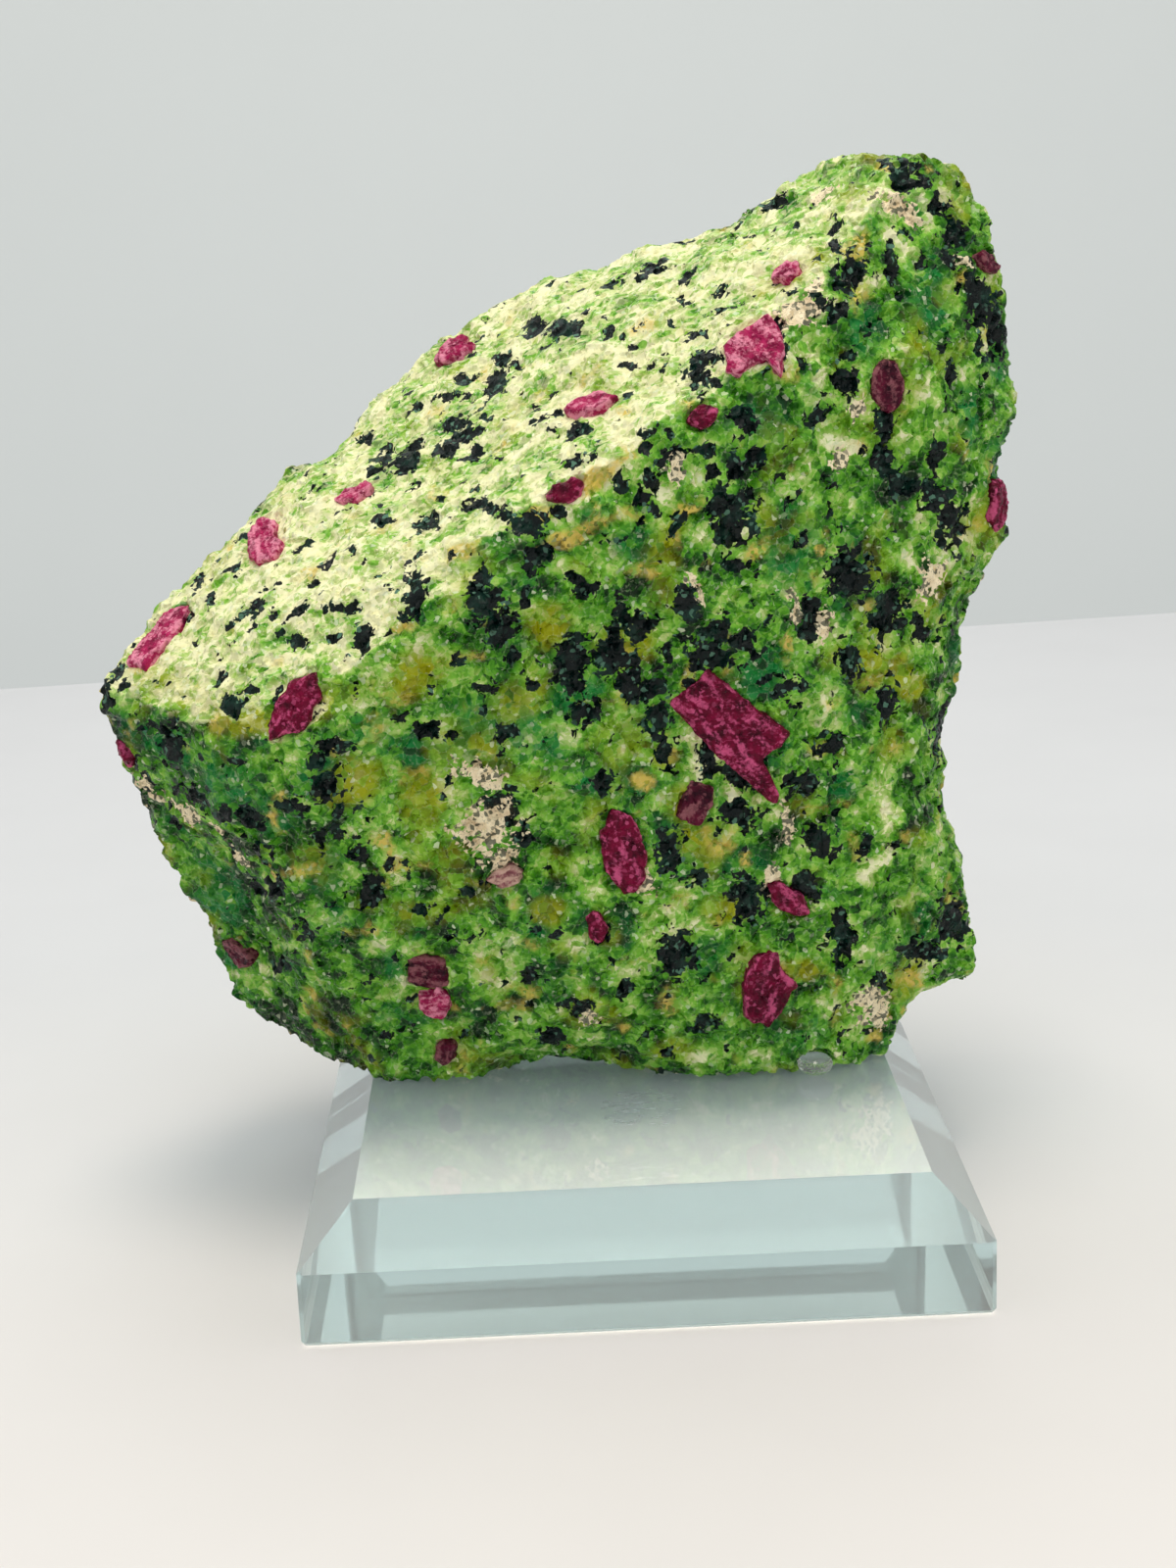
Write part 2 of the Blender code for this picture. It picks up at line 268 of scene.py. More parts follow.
class Shader:
    """A material under construction, with short calls that add and join nodes."""

    def __init__(self, name: str) -> None:
        """Start a material that holds one Principled shader.

        Args:
            name: The material's name.
        """
        self.material = bpy.data.materials.new(name)
        self.material.use_nodes = True
        self.tree = self.material.node_tree
        self.surface = next(n for n in self.tree.nodes if n.type == "BSDF_PRINCIPLED")
        self.output = next(n for n in self.tree.nodes if n.type == "OUTPUT_MATERIAL")
        self.place = None

    def set(self, **values: float | tuple) -> None:
        """Set sockets of the Principled shader, named with _ for each space."""
        for name, value in values.items():
            wanted = name.replace("_", " ").lower()
            socket = next(s for s in self.surface.inputs if s.name.lower() == wanted)
            socket.default_value = value

    def node(self, kind: str, inputs: Inputs | None = None, **properties: object) -> bpy.types.Node:
        """Add a node.

        Args:
            kind: The node's type name, without ShaderNode.
            inputs: Values or sockets for its inputs.
            properties: Its settings.

        Returns:
            The node.
        """
        made = self.tree.nodes.new("ShaderNode" + kind)
        for name, value in properties.items():
            setattr(made, name, value)
        for name, value in (inputs or {}).items():
            if isinstance(value, Socket):
                self.tree.links.new(value, made.inputs[name])
            else:
                made.inputs[name].default_value = value
        return made

    def join(self, source: Socket, name: str) -> None:
        """Join a socket to an input of the Principled shader."""
        self.tree.links.new(source, self.surface.inputs[name])

    def coordinates(self) -> Socket:
        """Places on the piece, in metres of the row frame."""
        if self.place is None:
            self.place = self.node("TexCoord").outputs["Object"]
        return self.place

    def stretched(self, turn: Point, scale: Point) -> Socket:
        """Coordinates turned by some degrees, then scaled, for streaks."""
        angles = tuple(math.radians(a) for a in turn)
        inputs = {"Vector": self.coordinates(), "Rotation": angles, "Scale": scale}
        return self.node("Mapping", inputs, vector_type="POINT").outputs["Vector"]

    def noise(
        self, size: float, detail: float = 3.0, rough: float = 0.55, at: Socket | None = None
    ) -> Socket:
        """Cloudy noise.

        Args:
            size: Width of a lump, in metres.
            detail: How many finer layers are added.
            rough: How strong the finer layers are.
            at: Coordinates, if they aren't plain ones.

        Returns:
            The noise's value, 0 to 1.
        """
        inputs = {"Vector": at or self.coordinates(), "Scale": 1 / size, "Detail": detail, "Roughness": rough}
        return self.node("TexNoise", inputs).outputs["Fac"]

    def cells(self, size: float, at: Socket | None = None) -> Cells:
        """Divide the surface into crystals.

        Args:
            size: Width of a crystal, in metres.
            at: Coordinates, if they aren't plain ones.

        Returns:
            Their random values.
        """
        inputs = {"Vector": at or self.coordinates(), "Scale": 1 / size}
        colour = self.node("TexVoronoi", inputs, feature="F1").outputs["Color"]
        parts = self.node("SeparateColor", {"Color": colour}).outputs
        return Cells(colour, parts["Red"], parts["Green"], parts["Blue"])

    def attribute(self, name: str) -> Socket:
        """A number that the mesh stores at each vertex."""
        return self.node("Attribute", attribute_name=name).outputs["Fac"]

    def ramp(self, value: Socket, stops: tuple[tuple[float, Colour], ...]) -> Socket:
        """Colours along a value.

        Args:
            value: What picks the colour, 0 to 1.
            stops: Places and linear colours, in order.

        Returns:
            The colour.
        """
        made = self.node("ValToRGB", {"Fac": value})
        band = made.color_ramp.elements
        while len(band) < len(stops):
            band.new(1.0)
        for element, (place, colour) in zip(band, stops):
            element.position = place
            element.color = (*colour, 1.0)
        return made.outputs["Color"]

    def span(self, value: Socket, low: float, high: float, first: float = 0.0, last: float = 1.0) -> Socket:
        """Map a value from the range low to high to the range first to last, clamped."""
        inputs = {"Value": value, "From Min": low, "From Max": high, "To Min": first, "To Max": last}
        return self.node("MapRange", inputs).outputs["Result"]

    def varied(self, value: Socket, by: Socket, far: float, low: float = 0.0, high: float = 1.0) -> Socket:
        """A value moved down or up by as much as far, as another goes from low to high."""
        return self.math("ADD", value, self.span(by, low, high, -far, far))

    def mix(self, share: Socket, first: Socket | Colour, second: Socket | Colour) -> Socket:
        """Mix two colours.

        Args:
            share: How much of the second, 0 to 1.
            first: A colour or a socket.
            second: A colour or a socket.

        Returns:
            The mixed colour.
        """
        made = self.node("Mix", data_type="RGBA", blend_type="MIX")
        for name, value in (("Factor_Float", share), ("A_Color", first), ("B_Color", second)):
            socket = next(s for s in made.inputs if s.identifier == name)
            if isinstance(value, Socket):
                self.tree.links.new(value, socket)
            else:
                socket.default_value = (*value, 1.0)
        return next(s for s in made.outputs if s.identifier == "Result_Color")

    def math(self, operation: str, first: Socket, second: Socket | float) -> Socket:
        """Sum, product or other arithmetic of two values."""
        return self.node("Math", {0: first, 1: second}, operation=operation).outputs["Value"]

    def pushed(self, start: Socket, colour: Socket, far: float) -> Socket:
        """Move a vector as a random colour says, by up to half of far each way.

        Args:
            start: The vector.
            colour: The random colour; grey leaves the vector where it is.
            far: The whole reach of the moves.

        Returns:
            The moved vector.
        """
        centred = self.node("VectorMath", {0: colour, 1: MID_GREY}, operation="SUBTRACT").outputs["Vector"]
        scaled = self.node("VectorMath", {0: centred, 3: far}, operation="SCALE").outputs["Vector"]
        return self.node("VectorMath", {0: start, 1: scaled}, operation="ADD").outputs["Vector"]

    def bump(self, height: Socket, depth: float, strength: float, facing: Socket | None = None) -> None:
        """Shade the surface as if it rose by depth metres where height is 1.

        Args:
            height: The relief, 0 to 1.
            depth: How far the relief rises, in metres.
            strength: How much of it shows.
            facing: The surface's direction, if it isn't the mesh's own.
        """
        inputs = {"Height": height, "Distance": depth, "Strength": strength}
        if facing is not None:
            inputs["Normal"] = facing
        self.join(self.node("Bump", inputs).outputs["Normal"], "Normal")

    def absorb(self, tint: Colour, density: float) -> None:
        """Colour the light that passes through the piece.

        Args:
            tint: The colour that passes best.
            density: How much is absorbed in a metre.
        """
        inside = self.node("VolumeAbsorption")
        inside.inputs["Color"].default_value = (*tint, 1.0)
        inside.inputs["Density"].default_value = density
        self.tree.links.new(inside.outputs["Volume"], self.output.inputs["Volume"])


# ---------------------------------------------------------------- finishes


@dataclass(frozen=True)
class StoneFinish:
    """The broken face of the stone: interlocked zoisite, amphibole and feldspar crystals."""

    name: str = "ruby_in_zoisite_rock"
    tones: tuple[tuple[float, Colour], ...] = (
        (0.0, linear(0.02, 0.15, 0.03)),
        (0.20, linear(0.12, 0.37, 0.05)),
        (0.42, linear(0.30, 0.58, 0.10)),
        (0.64, linear(0.50, 0.74, 0.24)),
        (0.82, linear(0.70, 0.81, 0.45)),
        (1.0, linear(0.94, 0.94, 0.76)),
    )
    chrome: Colour = linear(0.08, 0.49, 0.22)
    rust: Colour = linear(0.60, 0.62, 0.02)
    ochre: Colour = linear(0.84, 0.74, 0.36)
    # Near-white for frosted crystal rims and for painted glints, light caught by crystal faces.
    frost_and_painted_glint: Colour = linear(0.90, 0.94, 0.80)
    straw: Colour = linear(0.94, 0.93, 0.72)
    black: Colour = linear(0.01, 0.06, 0.06)
    bottle: Colour = linear(0.06, 0.20, 0.16)
    # Pale green spots on the black crystals: painted glints, for light caught by their faces.
    amphibole_painted_glint: Colour = linear(0.34, 0.50, 0.42)
    cream: Colour = linear(0.97, 0.91, 0.77)
    tan: Colour = linear(0.72, 0.58, 0.42)
    # Dark grey-brown spots in the cream crumbs: painted shade of their pits.
    painted_pit_shade: Colour = linear(0.31, 0.29, 0.19)

    crystal: float = 1.15 * MM
    flake: float = 0.48 * MM
    streak: float = 0.552 * MM
    grit: float = 0.30 * MM
    cloud: float = 2.6 * MM
    along_ridge: Point = (0.0, 36.0, 6.0)
    drawn_out: Point = (0.34, 1.0, 1.0)
    ragged_crystals: Span = (1.0 * MM, 0.55 * MM)
    ragged_streaks: Span = (0.9 * MM, 0.5 * MM)

    crystal_contrast: float = 0.19
    flake_contrast: float = 0.14
    grit_contrast: float = 0.05
    chrome_share: Span = (0.10, 0.90)
    rust_share: Span = (0.35, 0.95)
    stain_share: Span = (0.20, 0.95)
    rim_width: float = 0.09
    rim_most: float = 0.60
    rim_off_slab: float = 0.35
    # The flecks are painted glints, more of them on the slab.
    painted_glint_start: float = 0.94
    painted_glint_most: float = 0.65
    painted_glint_on_slab: float = 0.06
    streak_most: float = 0.75
    dark_ragged: Span = (0.42, 0.20)
    dark_edge: Span = (-0.02, 0.04)
    cream_ragged: Span = (0.42, 0.50)
    cream_edge: Span = (-0.02, 0.06)

    polish: Span = (0.14, 0.62)
    cream_rough: float = 0.25
    facet_tilt: Span = (0.62, 0.50)
    relief: float = 0.07 * MM
    relief_strength: float = 0.7
    ior: float = 1.69
    shine: float = 0.12

    def warped(self, made: Shader, at: Socket, ragged: Span) -> Socket:
        """Coordinates pushed about by noise, so that cells get ragged sides.

        Args:
            made: The material under construction.
            at: Plain coordinates.
            ragged: The noise's width and how far it pushes, in metres.

        Returns:
            The pushed coordinates.
        """
        size, far = ragged
        push = made.node("TexNoise", {"Vector": at, "Scale": 1 / size, "Detail": 2.0}).outputs["Color"]
        return made.pushed(at, push, far)

    def zoisite(self, made: Shader, plain: Socket, coarse: Cells, fine: Cells, grit: Socket) -> Socket:
        """Colour of the green body: its tone, its stains, its frosted rims with painted highlights, its
        painted glint flecks and its slab, paler partly by its own colour and partly by painted light.

        Args:
            made: The material under construction.
            plain: Ragged coordinates.
            coarse: Random values of the crystals.
            fine: Random values of the flakes.
            grit: The finest noise.

        Returns:
            The colour.
        """
        slab = made.attribute("slab")
        tone = made.varied(made.attribute("tone"), coarse.red, self.crystal_contrast)
        tone = made.varied(tone, fine.red, self.flake_contrast)
        tone = made.varied(tone, grit, self.grit_contrast, 0.25, 0.75)
        body = made.ramp(tone, self.tones)
        stains = (
            ("chrome", made.span(coarse.green, 0.1, 0.8, *self.chrome_share), self.chrome),
            ("rust", made.span(coarse.blue, 0.1, 0.8, *self.rust_share), self.rust),
            ("stain", made.span(fine.blue, 0.05, 0.7, *self.stain_share), self.ochre),
        )
        for name, share, colour in stains:
            body = made.mix(made.math("MULTIPLY", made.attribute(name), share), body, colour)
        inputs = {"Vector": plain, "Scale": 1 / self.crystal}
        edge = made.node("TexVoronoi", inputs, feature="DISTANCE_TO_EDGE").outputs["Distance"]
        # Pale rims on crystal edges: partly frosted edges, partly painted highlight, strongest on the slab,
        # the face the light falls on.
        rim = made.span(edge, 0.0, self.rim_width, 1.0, 0.0)
        rim = made.math("MULTIPLY", rim, made.span(grit, 0.45, 0.62, 0.0, self.rim_most))
        rim = made.math("MULTIPLY", rim, made.span(slab, 0.0, 1.0, self.rim_off_slab, 1.0))
        body = made.mix(rim, body, self.frost_and_painted_glint)
        # Sparse near-white flecks, more on the slab: painted glints.
        painted_glint_share = made.math("ADD", fine.green, made.math("MULTIPLY", slab, self.painted_glint_on_slab))
        body = made.mix(made.span(painted_glint_share, self.painted_glint_start, 1.0, 0.0, self.painted_glint_most), body, self.frost_and_painted_glint)
        ridge = made.stretched(self.along_ridge, self.drawn_out)
        streaks = made.cells(self.streak, self.warped(made, ridge, self.ragged_streaks))
        share = made.span(streaks.red, 0.35, 1.0, 0.0, self.streak_most)
        return made.mix(made.math("MULTIPLY", slab, share), body, self.straw)

    def amphibole(self, made: Shader, coarse: Cells, fine: Cells, cloud: Socket) -> tuple[Socket, Socket]:
        """Where the black-green crystals show, and their colour, with painted glints on it.

        Args:
            made: The material under construction.
            coarse: Random values of the crystals.
            fine: Random values of the flakes.
            cloud: Broad noise.

        Returns:
            Their share, 0 or 1 but for soft edges, and their colour.
        """
        there = made.varied(made.attribute("amphibole"), coarse.green, self.dark_ragged[0])
        there = made.varied(there, fine.green, self.dark_ragged[1])
        colour = made.mix(made.span(cloud, 0.50, 0.70), self.black, self.bottle)
        # Sparse pale spots on the dark crystals: painted glints.
        colour = made.mix(made.span(fine.blue, 0.90, 0.98, 0.0, 0.9), colour, self.amphibole_painted_glint)
        return made.span(there, *self.dark_edge), colour

    def feldspar(
        self, made: Shader, coarse: Cells, fine: Cells, cloud: Socket, grit: Socket
    ) -> tuple[Socket, Socket]:
        """Where the cream crumbs show, and their colour, with painted shade in their pits.

        Args:
            made: The material under construction.
            coarse: Random values of the crystals.
            fine: Random values of the flakes.
            cloud: Broad noise.
            grit: The finest noise.

        Returns:
            Their share, 0 or 1 but for soft edges, and their colour.
        """
        there = made.varied(made.attribute("feldspar"), fine.red, self.cream_ragged[0])
        there = made.varied(there, coarse.blue, self.cream_ragged[1])
        colour = made.mix(made.span(cloud, 0.52, 0.72, 0.0, 0.6), self.cream, self.tan)
        # Noise spots of painted shade, as if in pits.
        colour = made.mix(made.span(grit, 0.54, 0.70, 0.0, 0.8), colour, self.painted_pit_shade)
        colour = made.mix(made.span(fine.green, 0.66, 0.74, 0.0, 0.8), colour, self.bottle)
        return made.span(there, *self.cream_edge), colour

    def material(self) -> bpy.types.Material:
        """Build the material.

        Returns:
            The finished material.
        """
        made = Shader(self.name)
        plain = self.warped(made, made.coordinates(), self.ragged_crystals)
        coarse = made.cells(self.crystal, plain)
        fine = made.cells(self.flake, plain)
        grit = made.noise(self.grit, 3.0, 0.7)
        cloud = made.noise(self.cloud, 4.0, 0.6)
        body = self.zoisite(made, plain, coarse, fine, grit)
        dark, inky = self.amphibole(made, coarse, fine, cloud)
        body = made.mix(dark, body, inky)
        pale, chalk = self.feldspar(made, coarse, fine, cloud, grit)
        made.join(made.mix(pale, body, chalk), "Base Color")
        rough = made.span(fine.blue, 0.0, 1.0, *self.polish)
        rough = made.math("ADD", rough, made.math("MULTIPLY", pale, self.cream_rough))
        made.join(rough, "Roughness")
        facing = made.node("NewGeometry").outputs["Normal"]
        for cells, tilt in zip((coarse, fine), self.facet_tilt):
            facing = made.pushed(facing, cells.colour, tilt)
        facing = made.node("VectorMath", {0: facing}, operation="NORMALIZE").outputs["Vector"]
        made.bump(grit, self.relief, self.relief_strength, facing)
        made.set(ior=self.ior, specular_ior_level=self.shine)
        return made.material


@dataclass(frozen=True)
class RubyFinish:
    """Opaque raspberry ruby with parting lines, pink bruised streaks, painted pink glints and a paler rim."""

    name: str
    deep: Colour
    body: Colour
    # Pink of the bruised streaks, also used for painted glints.
    bruise_and_painted_glint: Colour
    bruised: float
    cloud: float = 1.9 * MM
    grain: float = 0.42 * MM
    parting: float = 0.34 * MM
    cleavage: Point = (0.0, -28.0, 0.0)
    drawn_out: Point = (0.22, 1.0, 1.0)
    ragged: float = 0.25
    rim_share: float = 0.10
    bruise_start: float = 0.60
    bruise_gain: float = 0.45
    bruise_edge: float = 0.26
    bruise_most: float = 0.85
    parting_most: float = 0.60
    polish: Span = (0.10, 0.55)
    relief: float = 0.12 * MM
    relief_strength: float = 0.9
    ior: float = 1.76
    shine: float = 0.06

    def material(self) -> bpy.types.Material:
        """Build the material.

        Returns:
            The finished material.
        """
        made = Shader(self.name)
        cloud = made.noise(self.cloud, 4.0, 0.65)
        base = made.mix(made.span(cloud, 0.36, 0.62), self.deep, self.body)
        fine = made.noise(self.grain, 4.0, 0.7)
        glints_and_specks = made.cells(self.grain)
        share = made.varied(made.attribute("streak"), fine, self.ragged, 0.3, 0.7)
        share = made.math("ADD", share, made.math("MULTIPLY", made.attribute("rim"), self.rim_share))
        start = self.bruise_start - self.bruise_gain * self.bruised
        share = made.span(share, start, start + self.bruise_edge, 0.0, self.bruise_most)
        colour = made.mix(share, base, self.bruise_and_painted_glint)
        cleaved = made.noise(self.parting, 3.0, 0.6, made.stretched(self.cleavage, self.drawn_out))
        colour = made.mix(made.span(cleaved, 0.61, 0.72, 0.0, self.parting_most), colour, self.bruise_and_painted_glint)
        # Bright pink specks: painted glints.
        colour = made.mix(made.span(glints_and_specks.red, 0.90, 0.97, 0.0, 0.6), colour, self.bruise_and_painted_glint)
        colour = made.mix(made.span(glints_and_specks.green, 0.90, 0.98, 0.0, 0.5), colour, self.deep)
        made.join(colour, "Base Color")
        made.join(made.span(glints_and_specks.blue, 0.0, 1.0, *self.polish), "Roughness")
        made.bump(fine, self.relief, self.relief_strength)
        made.set(ior=self.ior, specular_ior_level=self.shine)
        return made.material


@dataclass(frozen=True)
class ClearFinish:
    """Clear glass or gel: plain transmission, IOR and absorption, with faint handling marks.

    The share of light that doesn't pass, one minus clear, is the pale veil of fine scratches.
    """

    name: str
    ior: float
    tint: Colour
    density: float
    rough: Span
    smudge: float
    clear: float
    veil: Colour = (0.97, 1.0, 1.0)

    def roughness(self, made: Shader) -> Socket:
        """How rough the surface is: smudges lie here and there on it."""
        return made.span(made.noise(self.smudge, 4.0, 0.6), 0.55, 0.8, *self.rough)

    def material(self) -> bpy.types.Material:
        """Build the material.

        Returns:
            The finished material.
        """
        made = Shader(self.name)
        made.set(base_color=(*self.veil, 1.0), transmission_weight=self.clear, ior=self.ior, metallic=0.0)
        made.join(self.roughness(made), "Roughness")
        made.absorb(self.tint, self.density)
        return made.material


@dataclass(frozen=True)
class StandGlass(ClearFinish):
    """Polished glass with a ground edge at the bottom and scuffs in one patch of the top."""

    ground_edge: float = 0.5 * MM
    ground_rough: float = 0.55
    scuffed: Point = (1.0 * MM, -10.0 * MM, 14.5 * MM)
    scuff_size: Point = (7.5 * MM, 9.0 * MM, 2.0 * MM)
    scuff: float = 0.9 * MM
    scuff_turn: Point = (0.0, 0.0, 24.0)
    scuff_drawn_out: Point = (0.3, 1.0, 1.0)
    scuff_rough: float = 0.6

    def scuffs(self, made: Shader) -> Socket:
        """Roughness of the fine scuffs in one patch of the top.

        Args:
            made: The material under construction.

        Returns:
            The roughness, 0 outside the patch.
        """
        shrunk = tuple(1 / size for size in self.scuff_size)
        moved = tuple(-place * share for place, share in zip(self.scuffed, shrunk))
        inputs = {"Vector": made.coordinates(), "Scale": shrunk, "Location": moved}
        near = made.node("Mapping", inputs, vector_type="POINT").outputs["Vector"]
        reach = made.node("VectorMath", {0: near}, operation="LENGTH").outputs["Value"]
        smear = made.noise(self.scuff, 3.0, 0.6, made.stretched(self.scuff_turn, self.scuff_drawn_out))
        patch = made.math("MULTIPLY", made.span(reach, 0.3, 1.0, 1.0, 0.0), made.span(smear, 0.50, 0.62))
        return made.math("MULTIPLY", patch, self.scuff_rough)

    def roughness(self, made: Shader) -> Socket:
        """How rough the surface is, with its scuffs and its ground edge.

        Args:
            made: The material under construction.

        Returns:
            The roughness.
        """
        rough = made.math("MAXIMUM", super().roughness(made), self.scuffs(made))
        height = made.node("SeparateXYZ", {"Vector": made.coordinates()}).outputs["Z"]
        edge = self.ground_edge
        frosted = made.span(height, edge * 0.98, edge * 1.02, self.ground_rough, 0.0)
        above_foot = made.span(height, 0.01 * MM, 0.03 * MM)
        return made.math("MAXIMUM", rough, made.math("MULTIPLY", above_foot, frosted))


@dataclass(frozen=True)
class PaperFinish:
    """Plain matt floor or wall, with another colour further back; on the floor it is darker and cooler,
    painted shade where less light reaches.
    """

    name: str
    colour: Colour
    far_colour_painted_shade: Colour
    spread: float
    painted_shade_fade: Span = (-0.09, 0.10)
    mottle: float = 0.05
    rough: float = 0.6

    def material(self) -> bpy.types.Material:
        """Build the material.

        Returns:
            The finished material.
        """
        made = Shader(self.name)
        depth = made.node("SeparateXYZ", {"Vector": made.coordinates()}).outputs["Y"]
        # Towards the far colour further back: on the floor, painted shade.
        plain = made.mix(made.span(depth, *self.painted_shade_fade), self.colour, self.far_colour_painted_shade)
        mottle = made.span(made.noise(self.mottle, 3.0), 0.3, 0.7, 0.0, self.spread)
        made.join(made.mix(mottle, plain, (0.0, 0.0, 0.0)), "Base Color")
        made.set(roughness=self.rough)
        return made.material


# ---------------------------------------------------------------- studio


@dataclass(frozen=True)
class SoftLight:
    """A soft square light that faces the stone."""

    name: str
    place: Point
    side: float
    power: float
    colour: Colour
    aim: Point = (0.0, 0.0, 0.06)

    def build(self) -> Thing:
        """Make the light.

        Returns:
            The light; it isn't seen through the glass.
        """
        data = bpy.data.lights.new(self.name, "AREA")
        data.shape = "SQUARE"
        data.size = self.side
        data.energy = self.power
        data.color = self.colour
        lamp = bpy.data.objects.new(self.name, data)
        bpy.context.scene.collection.objects.link(lamp)
        lamp.location = self.place
        lamp.rotation_euler = (Vector(self.aim) - Vector(self.place)).to_track_quat("-Z", "Y").to_euler()
        lamp.visible_transmission = False
        return lamp


@dataclass(frozen=True)
class Studio:
    """Pale table top, pale wall behind it and soft light from above."""

    floor_side: float = 4.0
    floor_back: float = 0.339
    floor_turn: float = 6.1
    floor_gap: float = 0.15 * MM
    wall_back: float = 0.62
    wall_low: float = -0.6
    wall_tall: float = 2.0
    # The floor's far colour is darker: painted shade towards the wall.
    floor_finish: PaperFinish = PaperFinish(
        "studio_floor", linear(0.905, 0.895, 0.89), linear(0.838, 0.846, 0.860), 0.03
    )
    wall_finish: PaperFinish = PaperFinish(
        "studio_wall", linear(0.868, 0.897, 0.90), linear(0.868, 0.897, 0.90), 0.01
    )
    sky: float = 0.66
    sky_colour: Colour = (1.0, 0.975, 0.96)
    lights: tuple[SoftLight, ...] = (
        SoftLight("key_light", (0.0, -0.05, 0.88), 0.30, 3.0, (1.0, 0.87, 0.75)),
        SoftLight("front_light", (0.0, -0.45, 0.85), 0.50, 1.5, (0.88, 1.0, 1.0)),
        SoftLight("back_light", (0.0, 0.27, 0.46), 0.30, 0.40, (0.90, 1.0, 1.0)),
    )

    def sheet(self, name: str, corners: tuple[Point, ...], place: Point, finish: PaperFinish) -> Thing:
        """Make one flat sheet of the studio.

        Args:
            name: The sheet's name.
            corners: Its four corners, in order.
            place: Where it stands.
            finish: Its finish.

        Returns:
            The sheet.
        """
        sheet = new_object(name, mesh_of(name, np.array(corners), np.array([[0, 1, 2, 3]])))
        sheet.location = place
        sheet.data.materials.append(finish.material())
        return sheet

    def build_floor(self) -> Thing:
        """Make the floor.

        Returns:
            The floor, just under height 0, so that it doesn't touch the glass.
        """
        half = self.floor_side / 2
        slope = half * math.tan(math.radians(self.floor_turn))
        front = ((-half, -half, 0), (half, -half, 0))
        back = ((half, self.floor_back + slope, 0), (-half, self.floor_back - slope, 0))
        return self.sheet("studio_floor", (*front, *back), (0.0, 0.0, -self.floor_gap), self.floor_finish)

    def build_wall(self) -> Thing:
        """Make the wall behind.

        Returns:
            The wall, a step behind the floor's far edge.
        """
        half = self.floor_side / 2
        low, high = self.wall_low, self.wall_tall
        corners = ((-half, 0, low), (half, 0, low), (half, 0, high), (-half, 0, high))
        return self.sheet("studio_wall", corners, (0.0, self.wall_back, 0.0), self.wall_finish)

    def build_sky(self) -> None:
        """Fill the surroundings with even light."""
        world = bpy.data.worlds.new("studio")
        world.use_nodes = True
        sky = next(n for n in world.node_tree.nodes if n.type == "BACKGROUND")
        sky.inputs["Color"].default_value = (*self.sky_colour, 1.0)
        sky.inputs["Strength"].default_value = self.sky
        bpy.context.scene.world = world

    def build(self) -> None:
        """Make the floor, the wall and the lights."""
        self.build_floor()
        self.build_wall()
        self.build_sky()
        for light in self.lights:
            light.build()
        bpy.context.scene.view_settings.view_transform = "Standard"


# ---------------------------------------------------------------- crystals' outlines


# How a crystal's directions are read off its CAD solid.
LEAST_FACING = 0.6
NEARLY_UPRIGHT = 0.05
ROUND_CRYSTAL = 4.0 * MM
PAST_POCKET = 0.8 * MM


class Outline(Enum):
    """Outlines of ruby crystals, as corners along and across, in half lengths and half widths."""

    BROKEN_BAR = (
        (-1.02, -1.22), (-0.6, -1.30), (-0.1, -1.42), (0.5, -1.40), (0.88, -1.42), (0.98, -1.22),
        (0.93, -0.98), (0.62, -0.62), (0.40, -0.45), (0.47, 0.3), (0.45, 0.93), (-0.1, 0.78),
        (-0.97, 0.64), (-0.98, -0.3),
    )
    BARREL = (
        (-1.0, -0.22), (-0.78, 0.62), (-0.1, 1.0), (0.62, 0.86), (1.0, 0.30), (0.98, -0.25),
        (0.4, -0.92), (-0.45, -1.0),
    )
    ARCH = (
        (-0.46, 0.72), (0.08, 0.80), (0.56, 0.60), (1.12, 0.36), (1.42, 0.10), (1.08, 0.02),
        (0.80, 0.04), (0.70, -0.24), (0.76, -0.74), (0.50, -1.04), (0.12, -0.80), (-0.36, -0.72),
        (-0.42, -0.30),
    )
    WEDGE = (
        (-1.0, -0.7), (-0.85, 0.35), (-0.1, 0.95), (0.75, 1.0), (1.0, 0.2), (0.55, -0.2),
        (0.35, -1.0), (-0.4, -0.85),
    )
    SHARD = (
        (-1.0, -0.1), (-0.55, 0.75), (0.15, 0.6), (0.6, 1.0), (1.0, 0.25), (0.7, -0.55),
        (0.05, -1.0), (-0.6, -0.7),
    )
    BLOCK = ((-1.0, -0.75), (-0.9, 0.85), (-0.1, 1.0), (0.9, 0.8), (1.0, -0.65), (0.2, -1.0))
    SLIVER = ((-1.0, 0.1), (-0.5, 0.85), (0.35, 1.0), (1.0, 0.2), (0.6, -0.75), (-0.3, -1.0))


